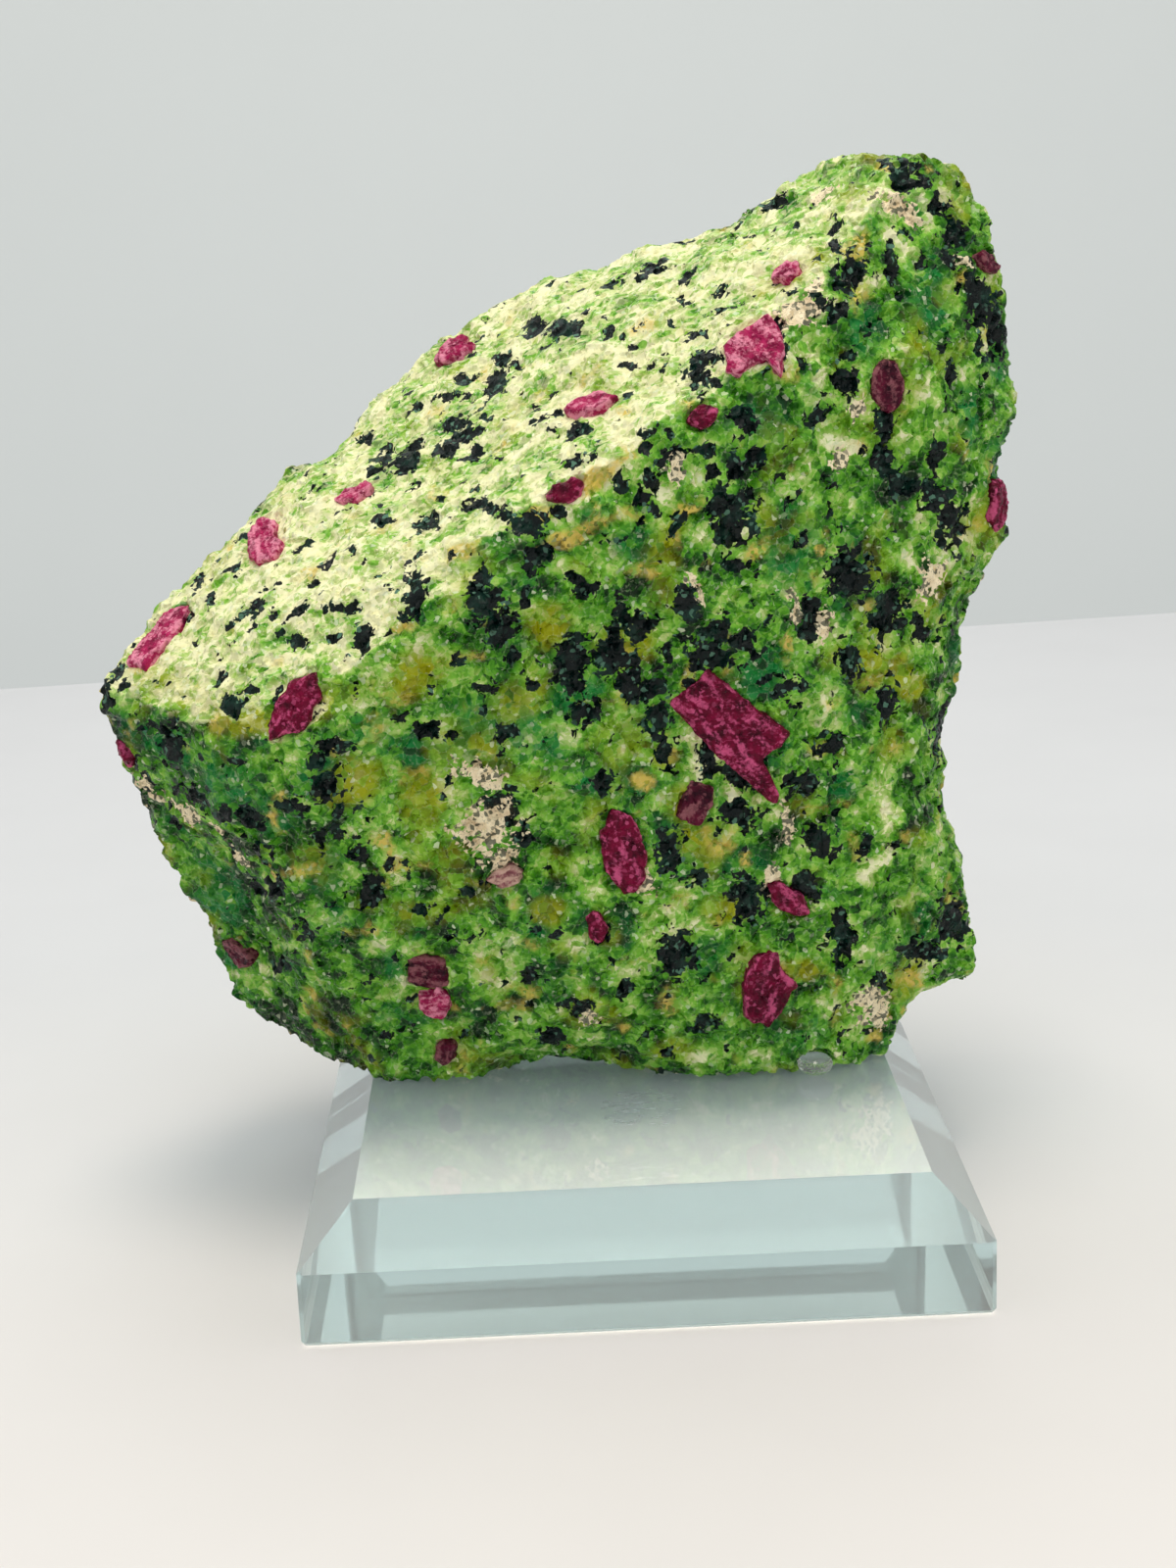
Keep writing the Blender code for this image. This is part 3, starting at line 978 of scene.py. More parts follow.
@dataclass(frozen=True)
class CrystalFrame:
    """Where a crystal sits: its centre, its directions and its half sizes."""

    centre: Array
    along: Array
    across: Array
    out: Array
    half_long: float
    half_wide: float
    low: float
    high: float

    @classmethod
    def of_node(cls, node: str, stone: Mesh) -> "CrystalFrame":
        """Read the frame off a CAD node.

        Args:
            node: The crystal's CAD node.
            stone: The stone that it sits in.

        Returns:
            The frame; out points away from the stone.
        """
        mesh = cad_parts[node].data
        points = points_of(mesh)
        centre = (points.min(0) + points.max(0)) / 2
        facing = cls.facing(mesh, centre, stone)
        flats = [f for f in mesh.polygons if f.normal.dot(Vector(facing)) > LEAST_FACING]
        out = np.array(max(flats, key=lambda f: (round(f.area * 1e9), f.normal.dot(Vector(facing)))).normal)
        flat = points - centre - np.outer((points - centre) @ out, out)
        along = np.linalg.svd(flat - flat.mean(0), full_matrices=False)[2][0]
        upright = abs(along[0]) <= NEARLY_UPRIGHT
        along = along * np.sign(-along[2] if upright else along[0])
        across = np.cross(out, along)
        local = (points - centre) @ np.stack([along, across, out], 1)
        low, high = local.min(0), local.max(0)
        centre = centre + (low[0] + high[0]) / 2 * along + (low[1] + high[1]) / 2 * across
        half = (high - low) / 2
        return cls(centre, along, across, out, half[0], half[1], low[2], high[2])

    @staticmethod
    def facing(crystal: Mesh, centre: Array, stone: Mesh) -> Array:
        """The stone's mean outward direction round a crystal, its pocket's walls left out.

        Args:
            crystal: The crystal's mesh.
            centre: The crystal's middle.
            stone: The stone's mesh.

        Returns:
            A unit vector.
        """
        corners = [corner.co for corner in crystal.vertices]
        shell = BVHTree.FromPolygons(corners, [face.vertices for face in crystal.polygons])
        reach = np.linalg.norm(points_of(crystal) - centre, axis=1).max() + ROUND_CRYSTAL
        total = Vector((0.0, 0.0, 0.0))
        for face in stone.polygons:
            near = (face.center - Vector(centre)).length < reach
            if near and shell.find_nearest(face.center)[3] > PAST_POCKET:
                total += face.normal * face.area
        return np.array(total.normalized())

    def local(self, points: Array) -> Array:
        """Places as seen from the crystal: along, across and out."""
        return (points - self.centre) @ np.stack([self.along, self.across, self.out], 1)

    def world(self, local: Array) -> Array:
        """Places in the row frame."""
        return self.centre + local @ np.stack([self.along, self.across, self.out])


def inside_outline(points: Array, corners: Array) -> Array:
    """Say which points lie inside a closed outline.

    Args:
        points: Flat places, one row each.
        corners: The outline's corners, in order.

    Returns:
        True where a point is inside.
    """
    inside = np.zeros(len(points), bool)
    for start, end in zip(corners, np.roll(corners, -1, axis=0)):
        spans = (start[1] > points[:, 1]) != (end[1] > points[:, 1])
        rise = end[1] - start[1]
        cut = start[0] + (points[:, 1] - start[1]) * (end[0] - start[0]) / (rise if rise else 1e-12)
        inside ^= spans & (points[:, 0] < cut)
    return inside


class RubyTone(Enum):
    """Finishes that ruby crystals take."""

    RASPBERRY = RubyFinish(
        "ruby_raspberry", linear(0.24, 0.01, 0.09), linear(0.46, 0.015, 0.19), linear(0.80, 0.34, 0.52), 0.04
    )
    PINK = RubyFinish(
        "ruby_pink", linear(0.44, 0.05, 0.20), linear(0.70, 0.13, 0.36), linear(0.92, 0.58, 0.68), 0.30
    )
    DULL = RubyFinish(
        "ruby_dull", linear(0.15, 0.02, 0.08), linear(0.36, 0.06, 0.17), linear(0.56, 0.34, 0.37), 0.22
    )
    MAUVE = RubyFinish(
        "ruby_mauve", linear(0.40, 0.22, 0.24), linear(0.58, 0.36, 0.38), linear(0.80, 0.66, 0.60), 0.60
    )


@dataclass(frozen=True)
class RubyCrystal:
    """One ruby: the CAD node it stands for, its outline and its finish."""

    node: str
    outline: Outline
    tone: RubyTone
    seed: int
    sink: float = 0.0
    spread: float = 0.12 * MM
    voxel: float = 0.20 * MM
    voxel_growth: float = 0.006
    embed: float = 2.2 * MM
    shoulder: float = 0.35 * MM
    top_share: float = 0.88
    ledges: tuple[Span, ...] = ((86, 1.3 * MM), (8, 2.99 * MM))
    ledge_step: float = 0.15 * MM
    ledge_bend: float = 0.9
    rim_width: float = 0.8 * MM
    worn: float = 0.42 * MM
    fine: float = 0.13 * MM
    swell: float = 0.26 * MM
    lift_start: float = 0.6 * MM
    lift_over: float = 0.4 * MM
    bed_drop: float = 1.0 * MM
    bed_above: float = 3.0 * MM
    bed_ragged: float = 0.14

    def corners(self, seat: CrystalFrame) -> Array:
        """The outline's corners in metres, along and across."""
        half = np.array([seat.half_long + self.spread, seat.half_wide + self.spread])
        return np.array(self.outline.value) * half

    def rim(self, seat: CrystalFrame, flat: Array) -> Array:
        """How near each place is to the crystal's outline.

        Args:
            seat: The crystal's frame.
            flat: Places along and across.

        Returns:
            1 on the outline, 0 a little way in.
        """
        corners = self.corners(seat)
        nearest = np.full(len(flat), 1.0)
        for start, end in zip(corners, np.roll(corners, -1, axis=0)):
            side = end - start
            share = np.clip((flat - start) @ side / (side @ side), 0, 1)
            nearest = np.minimum(nearest, np.linalg.norm(flat - start - share[:, None] * side, axis=1))
        return np.clip(1 - nearest / self.rim_width, 0, 1)

    def pressed(self, seat: CrystalFrame, points: Array) -> Array:
        """Push the skin under this crystal down, so that none of it shows through.

        Args:
            seat: The crystal's frame.
            points: The skin's places.

        Returns:
            The places, moved where the crystal lies.
        """
        local = seat.local(points)
        floor = seat.high - self.sink - self.bed_drop
        ragged = 1 + self.bed_ragged * noise_at(points, 1.2 * MM, self.seed + 17)[:, None]
        under = inside_outline(local[:, :2] * ragged, self.corners(seat) * 0.95) & (local[:, 2] > floor)
        under &= local[:, 2] < seat.high + self.bed_above
        local[under, 2] = floor
        return np.where(under[:, None], seat.world(local), points)

    def block(self, seat: CrystalFrame) -> Mesh:
        """The crystal's plain block, with a sloped shoulder round its top.

        Args:
            seat: The crystal's frame.

        Returns:
            A closed mesh in the crystal's own directions.
        """
        outline = self.corners(seat)
        top = seat.high - self.sink
        levels = ((1.0, top - self.embed), (1.0, top - self.shoulder), (self.top_share, top))
        shape = bmesh.new()
        rings = [[shape.verts.new((x * share, y * share, z)) for x, y in outline] for share, z in levels]
        shape.faces.new(rings[0][::-1])
        shape.faces.new(rings[-1])
        for lower, upper in zip(rings, rings[1:]):
            for i in range(len(outline)):
                j = (i + 1) % len(outline)
                shape.faces.new((lower[i], lower[j], upper[j], upper[i]))
        bmesh.ops.recalc_face_normals(shape, faces=shape.faces)
        mesh = bpy.data.meshes.new(self.node + "_block")
        shape.to_mesh(mesh)
        shape.free()
        return mesh

    def relief(self, at: Array, local: Array) -> Array:
        """How far the crystal's top rises: two runs of cleavage ledges, roughness and a swell.

        Args:
            at: Places for the noise, apart from those of the other crystals.
            local: Places along, across and out.

        Returns:
            The rise at each place, in metres.
        """
        rise = self.fine * noise_at(at, 0.8 * MM, self.seed + 5, 3)
        rise += self.swell * noise_at(at, 3.0 * MM, self.seed + 7)
        for turn, pitch in self.ledges:
            way = math.radians(turn + 9 * (self.seed % 5 - 2))
            run = (local[:, 0] * math.cos(way) + local[:, 1] * math.sin(way)) / pitch
            run = run + self.ledge_bend * noise_at(at, 2.2 * MM, self.seed + 3 + turn)
            rise += self.ledge_step * (run - np.floor(run) - 0.5)
        return rise

    def build(self, seat: CrystalFrame, material: bpy.types.Material) -> Thing:
        """Make the crystal: broken ledges across its top and a worn outline.

        Args:
            seat: The crystal's frame.
            material: Its finish.

        Returns:
            The crystal, in place of its CAD node.
        """
        voxel = self.voxel + self.voxel_growth * seat.half_long
        mesh = remeshed(self.node + "_crystal", self.block(seat), voxel)
        local = points_of(mesh)
        at = local + self.seed * 0.05
        reach = np.linalg.norm(local[:, :2], axis=1, keepdims=True)
        worn = self.worn * noise_at(at, 1.9 * MM, self.seed, 3)
        local[:, :2] += local[:, :2] / np.maximum(reach, 1e-6) * worn[:, None]
        rim = self.rim(seat, local[:, :2])
        drawn_out = at * np.array([0.3, 1.0, 1.0])
        streak = 0.5 + 0.5 * noise_at(drawn_out, 0.8 * MM, self.seed + 11, 3)
        lift_from = seat.high - self.sink - self.lift_start
        lifted = np.clip((local[:, 2] - lift_from) / self.lift_over, 0, 1)
        local[:, 2] += lifted * self.relief(at, local)
        low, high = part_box(STONE)
        placed = np.clip(seat.world(local), np.array(low), np.array(high))
        set_points(mesh, placed)
        add_attribute(mesh, "streak", np.clip(streak, 0, 1))
        add_attribute(mesh, "rim", rim)
        mesh.materials.append(material)
        crystal = new_object(self.node + "_crystal", mesh)
        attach(crystal, BODY)
        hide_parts(self.node)
        return crystal


# Each ruby: its CAD node, its outline, its finish and, if it lies low, how far down.
RUBY_LIST = (
    ("ruby_long_bar", Outline.BROKEN_BAR, RubyTone.RASPBERRY),
    ("ruby_barrel", Outline.BARREL, RubyTone.RASPBERRY),
    ("ruby_wedge", Outline.WEDGE, RubyTone.RASPBERRY),
    ("ruby_dull_patch", Outline.BLOCK, RubyTone.DULL, 0.2 * MM),
    ("ruby_sliver", Outline.SLIVER, RubyTone.RASPBERRY),
    ("ruby_dark_block", Outline.BLOCK, RubyTone.DULL, 0.4 * MM),
    ("ruby_pink_stub", Outline.SHARD, RubyTone.PINK),
    ("ruby_low_trace", Outline.SLIVER, RubyTone.DULL),
    ("ruby_small_fleck", Outline.SHARD, RubyTone.RASPBERRY),
    ("ruby_mauve_streak", Outline.SLIVER, RubyTone.MAUVE, 0.3 * MM),
    ("ruby_left_bar", Outline.SLIVER, RubyTone.RASPBERRY),
    ("ruby_left_slab", Outline.SHARD, RubyTone.PINK),
    ("ruby_left_rim", Outline.BLOCK, RubyTone.PINK),
    ("ruby_tip", Outline.SLIVER, RubyTone.RASPBERRY),
    ("ruby_pale_slab", Outline.SHARD, RubyTone.PINK, 0.2 * MM),
    ("ruby_rim", Outline.SHARD, RubyTone.PINK),
    ("ruby_mid_slab", Outline.SLIVER, RubyTone.PINK),
    ("ruby_crest", Outline.ARCH, RubyTone.PINK),
    ("ruby_brow", Outline.SLIVER, RubyTone.RASPBERRY),
    ("ruby_upper_fleck", Outline.SLIVER, RubyTone.PINK),
    ("ruby_ridge_fleck", Outline.SHARD, RubyTone.RASPBERRY),
    ("ruby_hollow", Outline.BARREL, RubyTone.DULL, 0.3 * MM),
    ("ruby_right_side", Outline.SHARD, RubyTone.RASPBERRY),
    ("ruby_low_left", Outline.SHARD, RubyTone.DULL),
    ("ruby_nose", Outline.SLIVER, RubyTone.DULL),
    ("ruby_rear_bar", Outline.SLIVER, RubyTone.RASPBERRY),
    ("ruby_rear_block", Outline.BLOCK, RubyTone.RASPBERRY),
    ("ruby_rear_low", Outline.WEDGE, RubyTone.PINK),
    ("ruby_rear_left", Outline.SHARD, RubyTone.RASPBERRY),
    ("ruby_right_rear", Outline.SHARD, RubyTone.DULL),
)

RUBIES = tuple(
    RubyCrystal(node, outline, tone, seed, *sink)
    for seed, (node, outline, tone, *sink) in enumerate(RUBY_LIST, start=1)
)


# ---------------------------------------------------------------- where minerals lie


@dataclass(frozen=True)
class Mark:
    """A patch of one mineral, by the frame pixel it shows at: centre, width, height and lean in degrees."""

    across: float
    down: float
    wide: float
    tall: float
    lean: float = 0.0


SLAB_SPECKS = (
    Mark(544, 331, 24, 20), Mark(574, 334, 32, 22, 35), Mark(623, 290, 22, 13), Mark(664, 270, 30, 14, 35),
    Mark(699, 246, 16, 10), Mark(621, 336, 12, 10), Mark(645, 352, 10, 8), Mark(635, 344, 7, 6),
    Mark(735, 296, 18, 12, 20), Mark(694, 301, 15, 10), Mark(735, 316, 14, 10), Mark(510, 364, 18, 11),
    Mark(523, 372, 16, 9), Mark(503, 390, 30, 18, 55), Mark(472, 385, 22, 11), Mark(456, 403, 18, 10),
    Mark(441, 404, 10, 8), Mark(419, 414, 13, 13), Mark(498, 401, 14, 9), Mark(549, 410, 13, 14),
    Mark(495, 423, 11, 8), Mark(590, 437, 17, 17), Mark(561, 437, 9, 17), Mark(465, 431, 25, 17),
    Mark(472, 445, 36, 17), Mark(486, 459, 13, 13), Mark(421, 456, 26, 16, 30), Mark(414, 469, 30, 18, 30),
    Mark(390, 461, 24, 15, 45), Mark(378, 477, 16, 13), Mark(452, 459, 16, 16), Mark(371, 446, 24, 11),
    Mark(403, 380, 28, 24, 30), Mark(643, 373, 14, 10), Mark(679, 375, 8, 11), Mark(715, 367, 34, 28, 30),
    Mark(707, 391, 13, 12), Mark(730, 391, 11, 8), Mark(584, 469, 25, 16, 30), Mark(665, 456, 15, 15),
    Mark(485, 511, 20, 12), Mark(505, 517, 24, 13), Mark(436, 530, 25, 16, 20), Mark(388, 528, 20, 12, 20),
    Mark(424, 493, 11, 7), Mark(449, 506, 13, 8), Mark(569, 520, 17, 14), Mark(635, 492, 16, 13),
    Mark(684, 324, 8, 11), Mark(707, 341, 18, 12), Mark(202, 593, 19, 11), Mark(214, 611, 11, 11),
    Mark(251, 621, 32, 9, 25), Mark(277, 628, 8, 8), Mark(229, 639, 13, 10), Mark(284, 597, 8, 6),
    Mark(269, 601, 10, 6), Mark(298, 624, 30, 12, 38), Mark(302, 647, 21, 16), Mark(340, 622, 16, 11),
    Mark(340, 652, 16, 9), Mark(223, 689, 16, 15), Mark(253, 703, 22, 9, 10), Mark(235, 718, 19, 21),
    Mark(790, 205, 35, 14, 20), Mark(765, 237, 11, 7), Mark(808, 280, 12, 7), Mark(333, 573, 20, 9, 20),
    Mark(360, 560, 18, 9, 25), Mark(318, 592, 14, 8), Mark(385, 583, 14, 8, 20),
)

RIDGE_KNOTS = (
    Mark(368, 654, 19, 32), Mark(419, 606, 23, 46), Mark(429, 589, 12, 9), Mark(467, 671, 19, 10),
    Mark(535, 535, 42, 26), Mark(550, 566, 27, 17), Mark(491, 584, 15, 36), Mark(494, 614, 38, 30),
    Mark(509, 642, 32, 32), Mark(526, 673, 15, 21), Mark(496, 704, 18, 18), Mark(537, 607, 11, 21),
    Mark(547, 701, 16, 16), Mark(583, 676, 32, 54), Mark(594, 727, 30, 24), Mark(588, 594, 32, 11, -20),
    Mark(624, 668, 34, 38), Mark(634, 627, 17, 30), Mark(652, 642, 21, 24), Mark(644, 699, 19, 36),
    Mark(673, 704, 30, 19), Mark(669, 737, 25, 30), Mark(680, 668, 11, 11), Mark(701, 617, 28, 32),
    Mark(661, 507, 16, 16), Mark(670, 520, 7, 11), Mark(686, 467, 24, 28), Mark(727, 484, 12, 12),
    Mark(663, 441, 14, 12), Mark(686, 438, 11, 10), Mark(660, 489, 15, 15), Mark(723, 468, 11, 11),
    Mark(750, 474, 19, 24), Mark(773, 466, 17, 25), Mark(742, 515, 46, 34), Mark(749, 540, 38, 28),
    Mark(752, 574, 25, 19), Mark(736, 642, 24, 34), Mark(759, 653, 22, 19), Mark(726, 670, 46, 21),
    Mark(757, 428, 19, 19), Mark(836, 423, 21, 17, 30), Mark(790, 334, 11, 24), Mark(801, 359, 14, 26),
    Mark(836, 308, 13, 26), Mark(857, 318, 13, 22), Mark(853, 228, 15, 24), Mark(853, 252, 15, 16),
    Mark(871, 278, 28, 42), Mark(913, 272, 10, 52), Mark(864, 385, 16, 28, -50), Mark(867, 405, 9, 15),
)

NOSE_BAND = (
    Mark(921, 178, 18, 40), Mark(941, 181, 22, 24), Mark(959, 206, 18, 20), Mark(977, 237, 34, 26),
    Mark(971, 262, 18, 18), Mark(995, 288, 24, 34), Mark(1003, 308, 30, 36), Mark(1017, 335, 14, 56),
    Mark(1002, 352, 12, 22), Mark(972, 382, 9, 27), Mark(903, 433, 15, 30), Mark(900, 469, 19, 36),
    Mark(911, 490, 36, 17, -30), Mark(961, 454, 15, 16), Mark(954, 472, 14, 22), Mark(955, 507, 30, 30),
    Mark(975, 533, 36, 40), Mark(922, 500, 26, 24), Mark(872, 589, 46, 46), Mark(906, 626, 36, 44),
    Mark(828, 636, 22, 34), Mark(867, 673, 24, 36), Mark(805, 703, 22, 34, -60), Mark(907, 716, 22, 50),
    Mark(848, 761, 27, 19), Mark(822, 801, 17, 26), Mark(1024, 350, 10, 40), Mark(938, 640, 18, 26),
    Mark(960, 750, 14, 40),
)

FRONT_KNOTS = (
    Mark(620, 798, 25, 25), Mark(678, 770, 21, 28), Mark(724, 775, 25, 34), Mark(759, 798, 42, 17, -35),
    Mark(757, 831, 40, 28), Mark(683, 867, 25, 48), Mark(713, 895, 17, 25), Mark(489, 783, 15, 11),
    Mark(458, 752, 16, 14), Mark(436, 745, 22, 14), Mark(517, 747, 16, 24), Mark(509, 824, 40, 34),
    Mark(530, 859, 25, 19), Mark(808, 803, 11, 24), Mark(838, 857, 34, 36), Mark(883, 862, 15, 28),
    Mark(764, 917, 36, 44), Mark(820, 907, 28, 30), Mark(862, 960, 25, 50), Mark(977, 941, 32, 44),
    Mark(945, 972, 52, 26), Mark(693, 973, 34, 44), Mark(473, 912, 17, 14), Mark(424, 930, 12, 14),
    Mark(400, 885, 9, 9), Mark(380, 909, 21, 32), Mark(363, 869, 19, 19), Mark(341, 853, 11, 17),
    Mark(325, 856, 14, 25), Mark(345, 828, 12, 14), Mark(333, 803, 22, 40, -60), Mark(322, 780, 19, 28),
    Mark(302, 825, 42, 15), Mark(345, 764, 42, 12, -8), Mark(240, 777, 22, 9), Mark(266, 869, 24, 17),
    Mark(256, 835, 32, 17), Mark(279, 907, 23, 17, -40), Mark(640, 1010, 22, 18), Mark(590, 1030, 26, 16),
    Mark(540, 1000, 16, 20), Mark(560, 1060, 24, 16), Mark(900, 1000, 20, 20), Mark(720, 1045, 26, 18),
)

CORNER_KNOTS = (
    Mark(105, 713, 16, 30), Mark(118, 682, 17, 20), Mark(128, 697, 14, 12), Mark(174, 738, 17, 17),
    Mark(154, 743, 20, 17), Mark(174, 770, 25, 26), Mark(138, 779, 12, 12), Mark(197, 815, 34, 18, -35),
    Mark(225, 833, 18, 15), Mark(179, 840, 10, 10), Mark(233, 869, 18, 17), Mark(150, 800, 18, 12, -35),
    Mark(262, 905, 26, 14, -45), Mark(310, 950, 26, 16, -50), Mark(285, 985, 20, 20),
)

CREAM_MARKS = (
    Mark(918, 208, 50, 20, -30), Mark(892, 1030, 28, 34), Mark(710, 601, 30, 9, -50),
    Mark(952, 590, 26, 36), Mark(489, 790, 36, 22, -20), Mark(498, 845, 46, 40), Mark(510, 880, 30, 22),
    Mark(790, 897, 14, 30), Mark(813, 622, 12, 30), Mark(843, 640, 12, 30), Mark(876, 418, 16, 22),
    Mark(690, 478, 14, 26), Mark(150, 806, 40, 7, -35), Mark(190, 829, 40, 8, -32),
    Mark(222, 848, 30, 8, -38), Mark(244, 877, 30, 7, -52), Mark(815, 318, 44, 26, 20),
    Mark(833, 290, 30, 10, 40), Mark(802, 845, 16, 34), Mark(862, 470, 14, 20), Mark(660, 905, 14, 24),
    Mark(600, 1040, 20, 14), Mark(985, 265, 22, 10, -20), Mark(840, 195, 24, 10, 30),
)

RUST_MARKS = (
    Mark(605, 492, 60, 24, 30), Mark(545, 528, 50, 20, 25), Mark(470, 560, 50, 30),
    Mark(425, 690, 80, 60, 30), Mark(250, 740, 110, 34, 5), Mark(360, 800, 60, 90, -60),
    Mark(655, 798, 26, 20), Mark(895, 1057, 16, 12), Mark(740, 930, 60, 40), Mark(560, 640, 60, 60),
    Mark(835, 262, 40, 30, 60), Mark(640, 660, 80, 50), Mark(820, 990, 60, 30), Mark(560, 930, 50, 40),
    Mark(430, 820, 60, 80), Mark(905, 168, 24, 14), Mark(700, 820, 60, 50), Mark(930, 700, 50, 40),
)

STAIN_MARKS = (
    Mark(605, 492, 64, 22, 30), Mark(545, 528, 54, 20, 25), Mark(575, 552, 60, 20, 25),
    Mark(640, 470, 34, 14, 20), Mark(470, 560, 50, 16, 30), Mark(655, 798, 26, 20), Mark(895, 1057, 20, 14),
    Mark(665, 585, 20, 16), Mark(700, 520, 24, 14), Mark(840, 560, 12, 14), Mark(760, 880, 20, 16),
    Mark(930, 1000, 34, 16, -20), Mark(412, 640, 26, 14, 20), Mark(905, 168, 22, 12),
    Mark(805, 660, 14, 24), Mark(705, 690, 16, 30),
)

CHROME_MARKS = (
    Mark(230, 800, 100, 90, -50), Mark(225, 900, 60, 120, 30), Mark(330, 890, 60, 60),
    Mark(330, 800, 70, 60), Mark(770, 690, 70, 110, -60), Mark(810, 560, 80, 120), Mark(780, 430, 70, 60),
    Mark(430, 770, 80, 50), Mark(420, 940, 40, 50), Mark(280, 830, 70, 60), Mark(590, 710, 80, 60),
    Mark(880, 330, 60, 80), Mark(950, 300, 60, 120), Mark(620, 800, 110, 50), Mark(170, 760, 70, 60),
    Mark(560, 760, 60, 50), Mark(860, 800, 60, 40), Mark(990, 430, 30, 80), Mark(650, 560, 70, 40),
    Mark(220, 920, 90, 60, -60), Mark(510, 740, 150, 80, -10),
)


DARK_MARKS = SLAB_SPECKS + RIDGE_KNOTS + NOSE_BAND + FRONT_KNOTS + CORNER_KNOTS

TRIES = 3.0


def scattered(mesh: Mesh, spacing: float, rng: np.random.Generator) -> tuple[Array, Array]:
    """Random places on a mesh, no two of them nearer than the spacing.

    Args:
        mesh: The mesh.
        spacing: The least distance, in metres.
        rng: Where random numbers come from.

    Returns:
        The places and the surface's directions there.
    """
    mesh.calc_loop_triangles()
    corners = np.empty(len(mesh.loop_triangles) * 3, np.int32)
    mesh.loop_triangles.foreach_get("vertices", corners)
    vertex_normals = normals_of(mesh)
    sides = points_of(mesh)[corners.reshape(-1, 3)]
    area = np.linalg.norm(np.cross(sides[:, 1] - sides[:, 0], sides[:, 2] - sides[:, 0]), axis=1) / 2
    count = int(TRIES * area.sum() / spacing**2)
    picked = rng.choice(len(area), count, p=area / area.sum())
    first, second = rng.random((2, count))
    folded = first + second > 1
    first, second = np.where(folded, 1 - first, first), np.where(folded, 1 - second, second)
    weights = np.stack([1 - first - second, first, second], 1)[:, :, None]
    places = (sides[picked] * weights).sum(1)
    normals = (vertex_normals[corners.reshape(-1, 3)[picked]] * weights).sum(1)
    normals /= np.linalg.norm(normals, axis=1, keepdims=True)
    tree = tree_of(places)
    free = [True] * count
    kept = []
    for number, place in enumerate(places.tolist()):
        if free[number]:
            kept.append(number)
            for _, near, _ in tree.find_range(place, spacing):
                free[near] = False
    return places[kept], normals[kept]


def tree_of(places: Array) -> kdtree.KDTree:
    """Sort places for quick searches.

    Args:
        places: Places, one row each.

    Returns:
        A tree that finds the places near another.
    """
    tree = kdtree.KDTree(len(places))
    for number, place in enumerate(places.tolist()):
        tree.insert(place, number)
    tree.balance()
    return tree


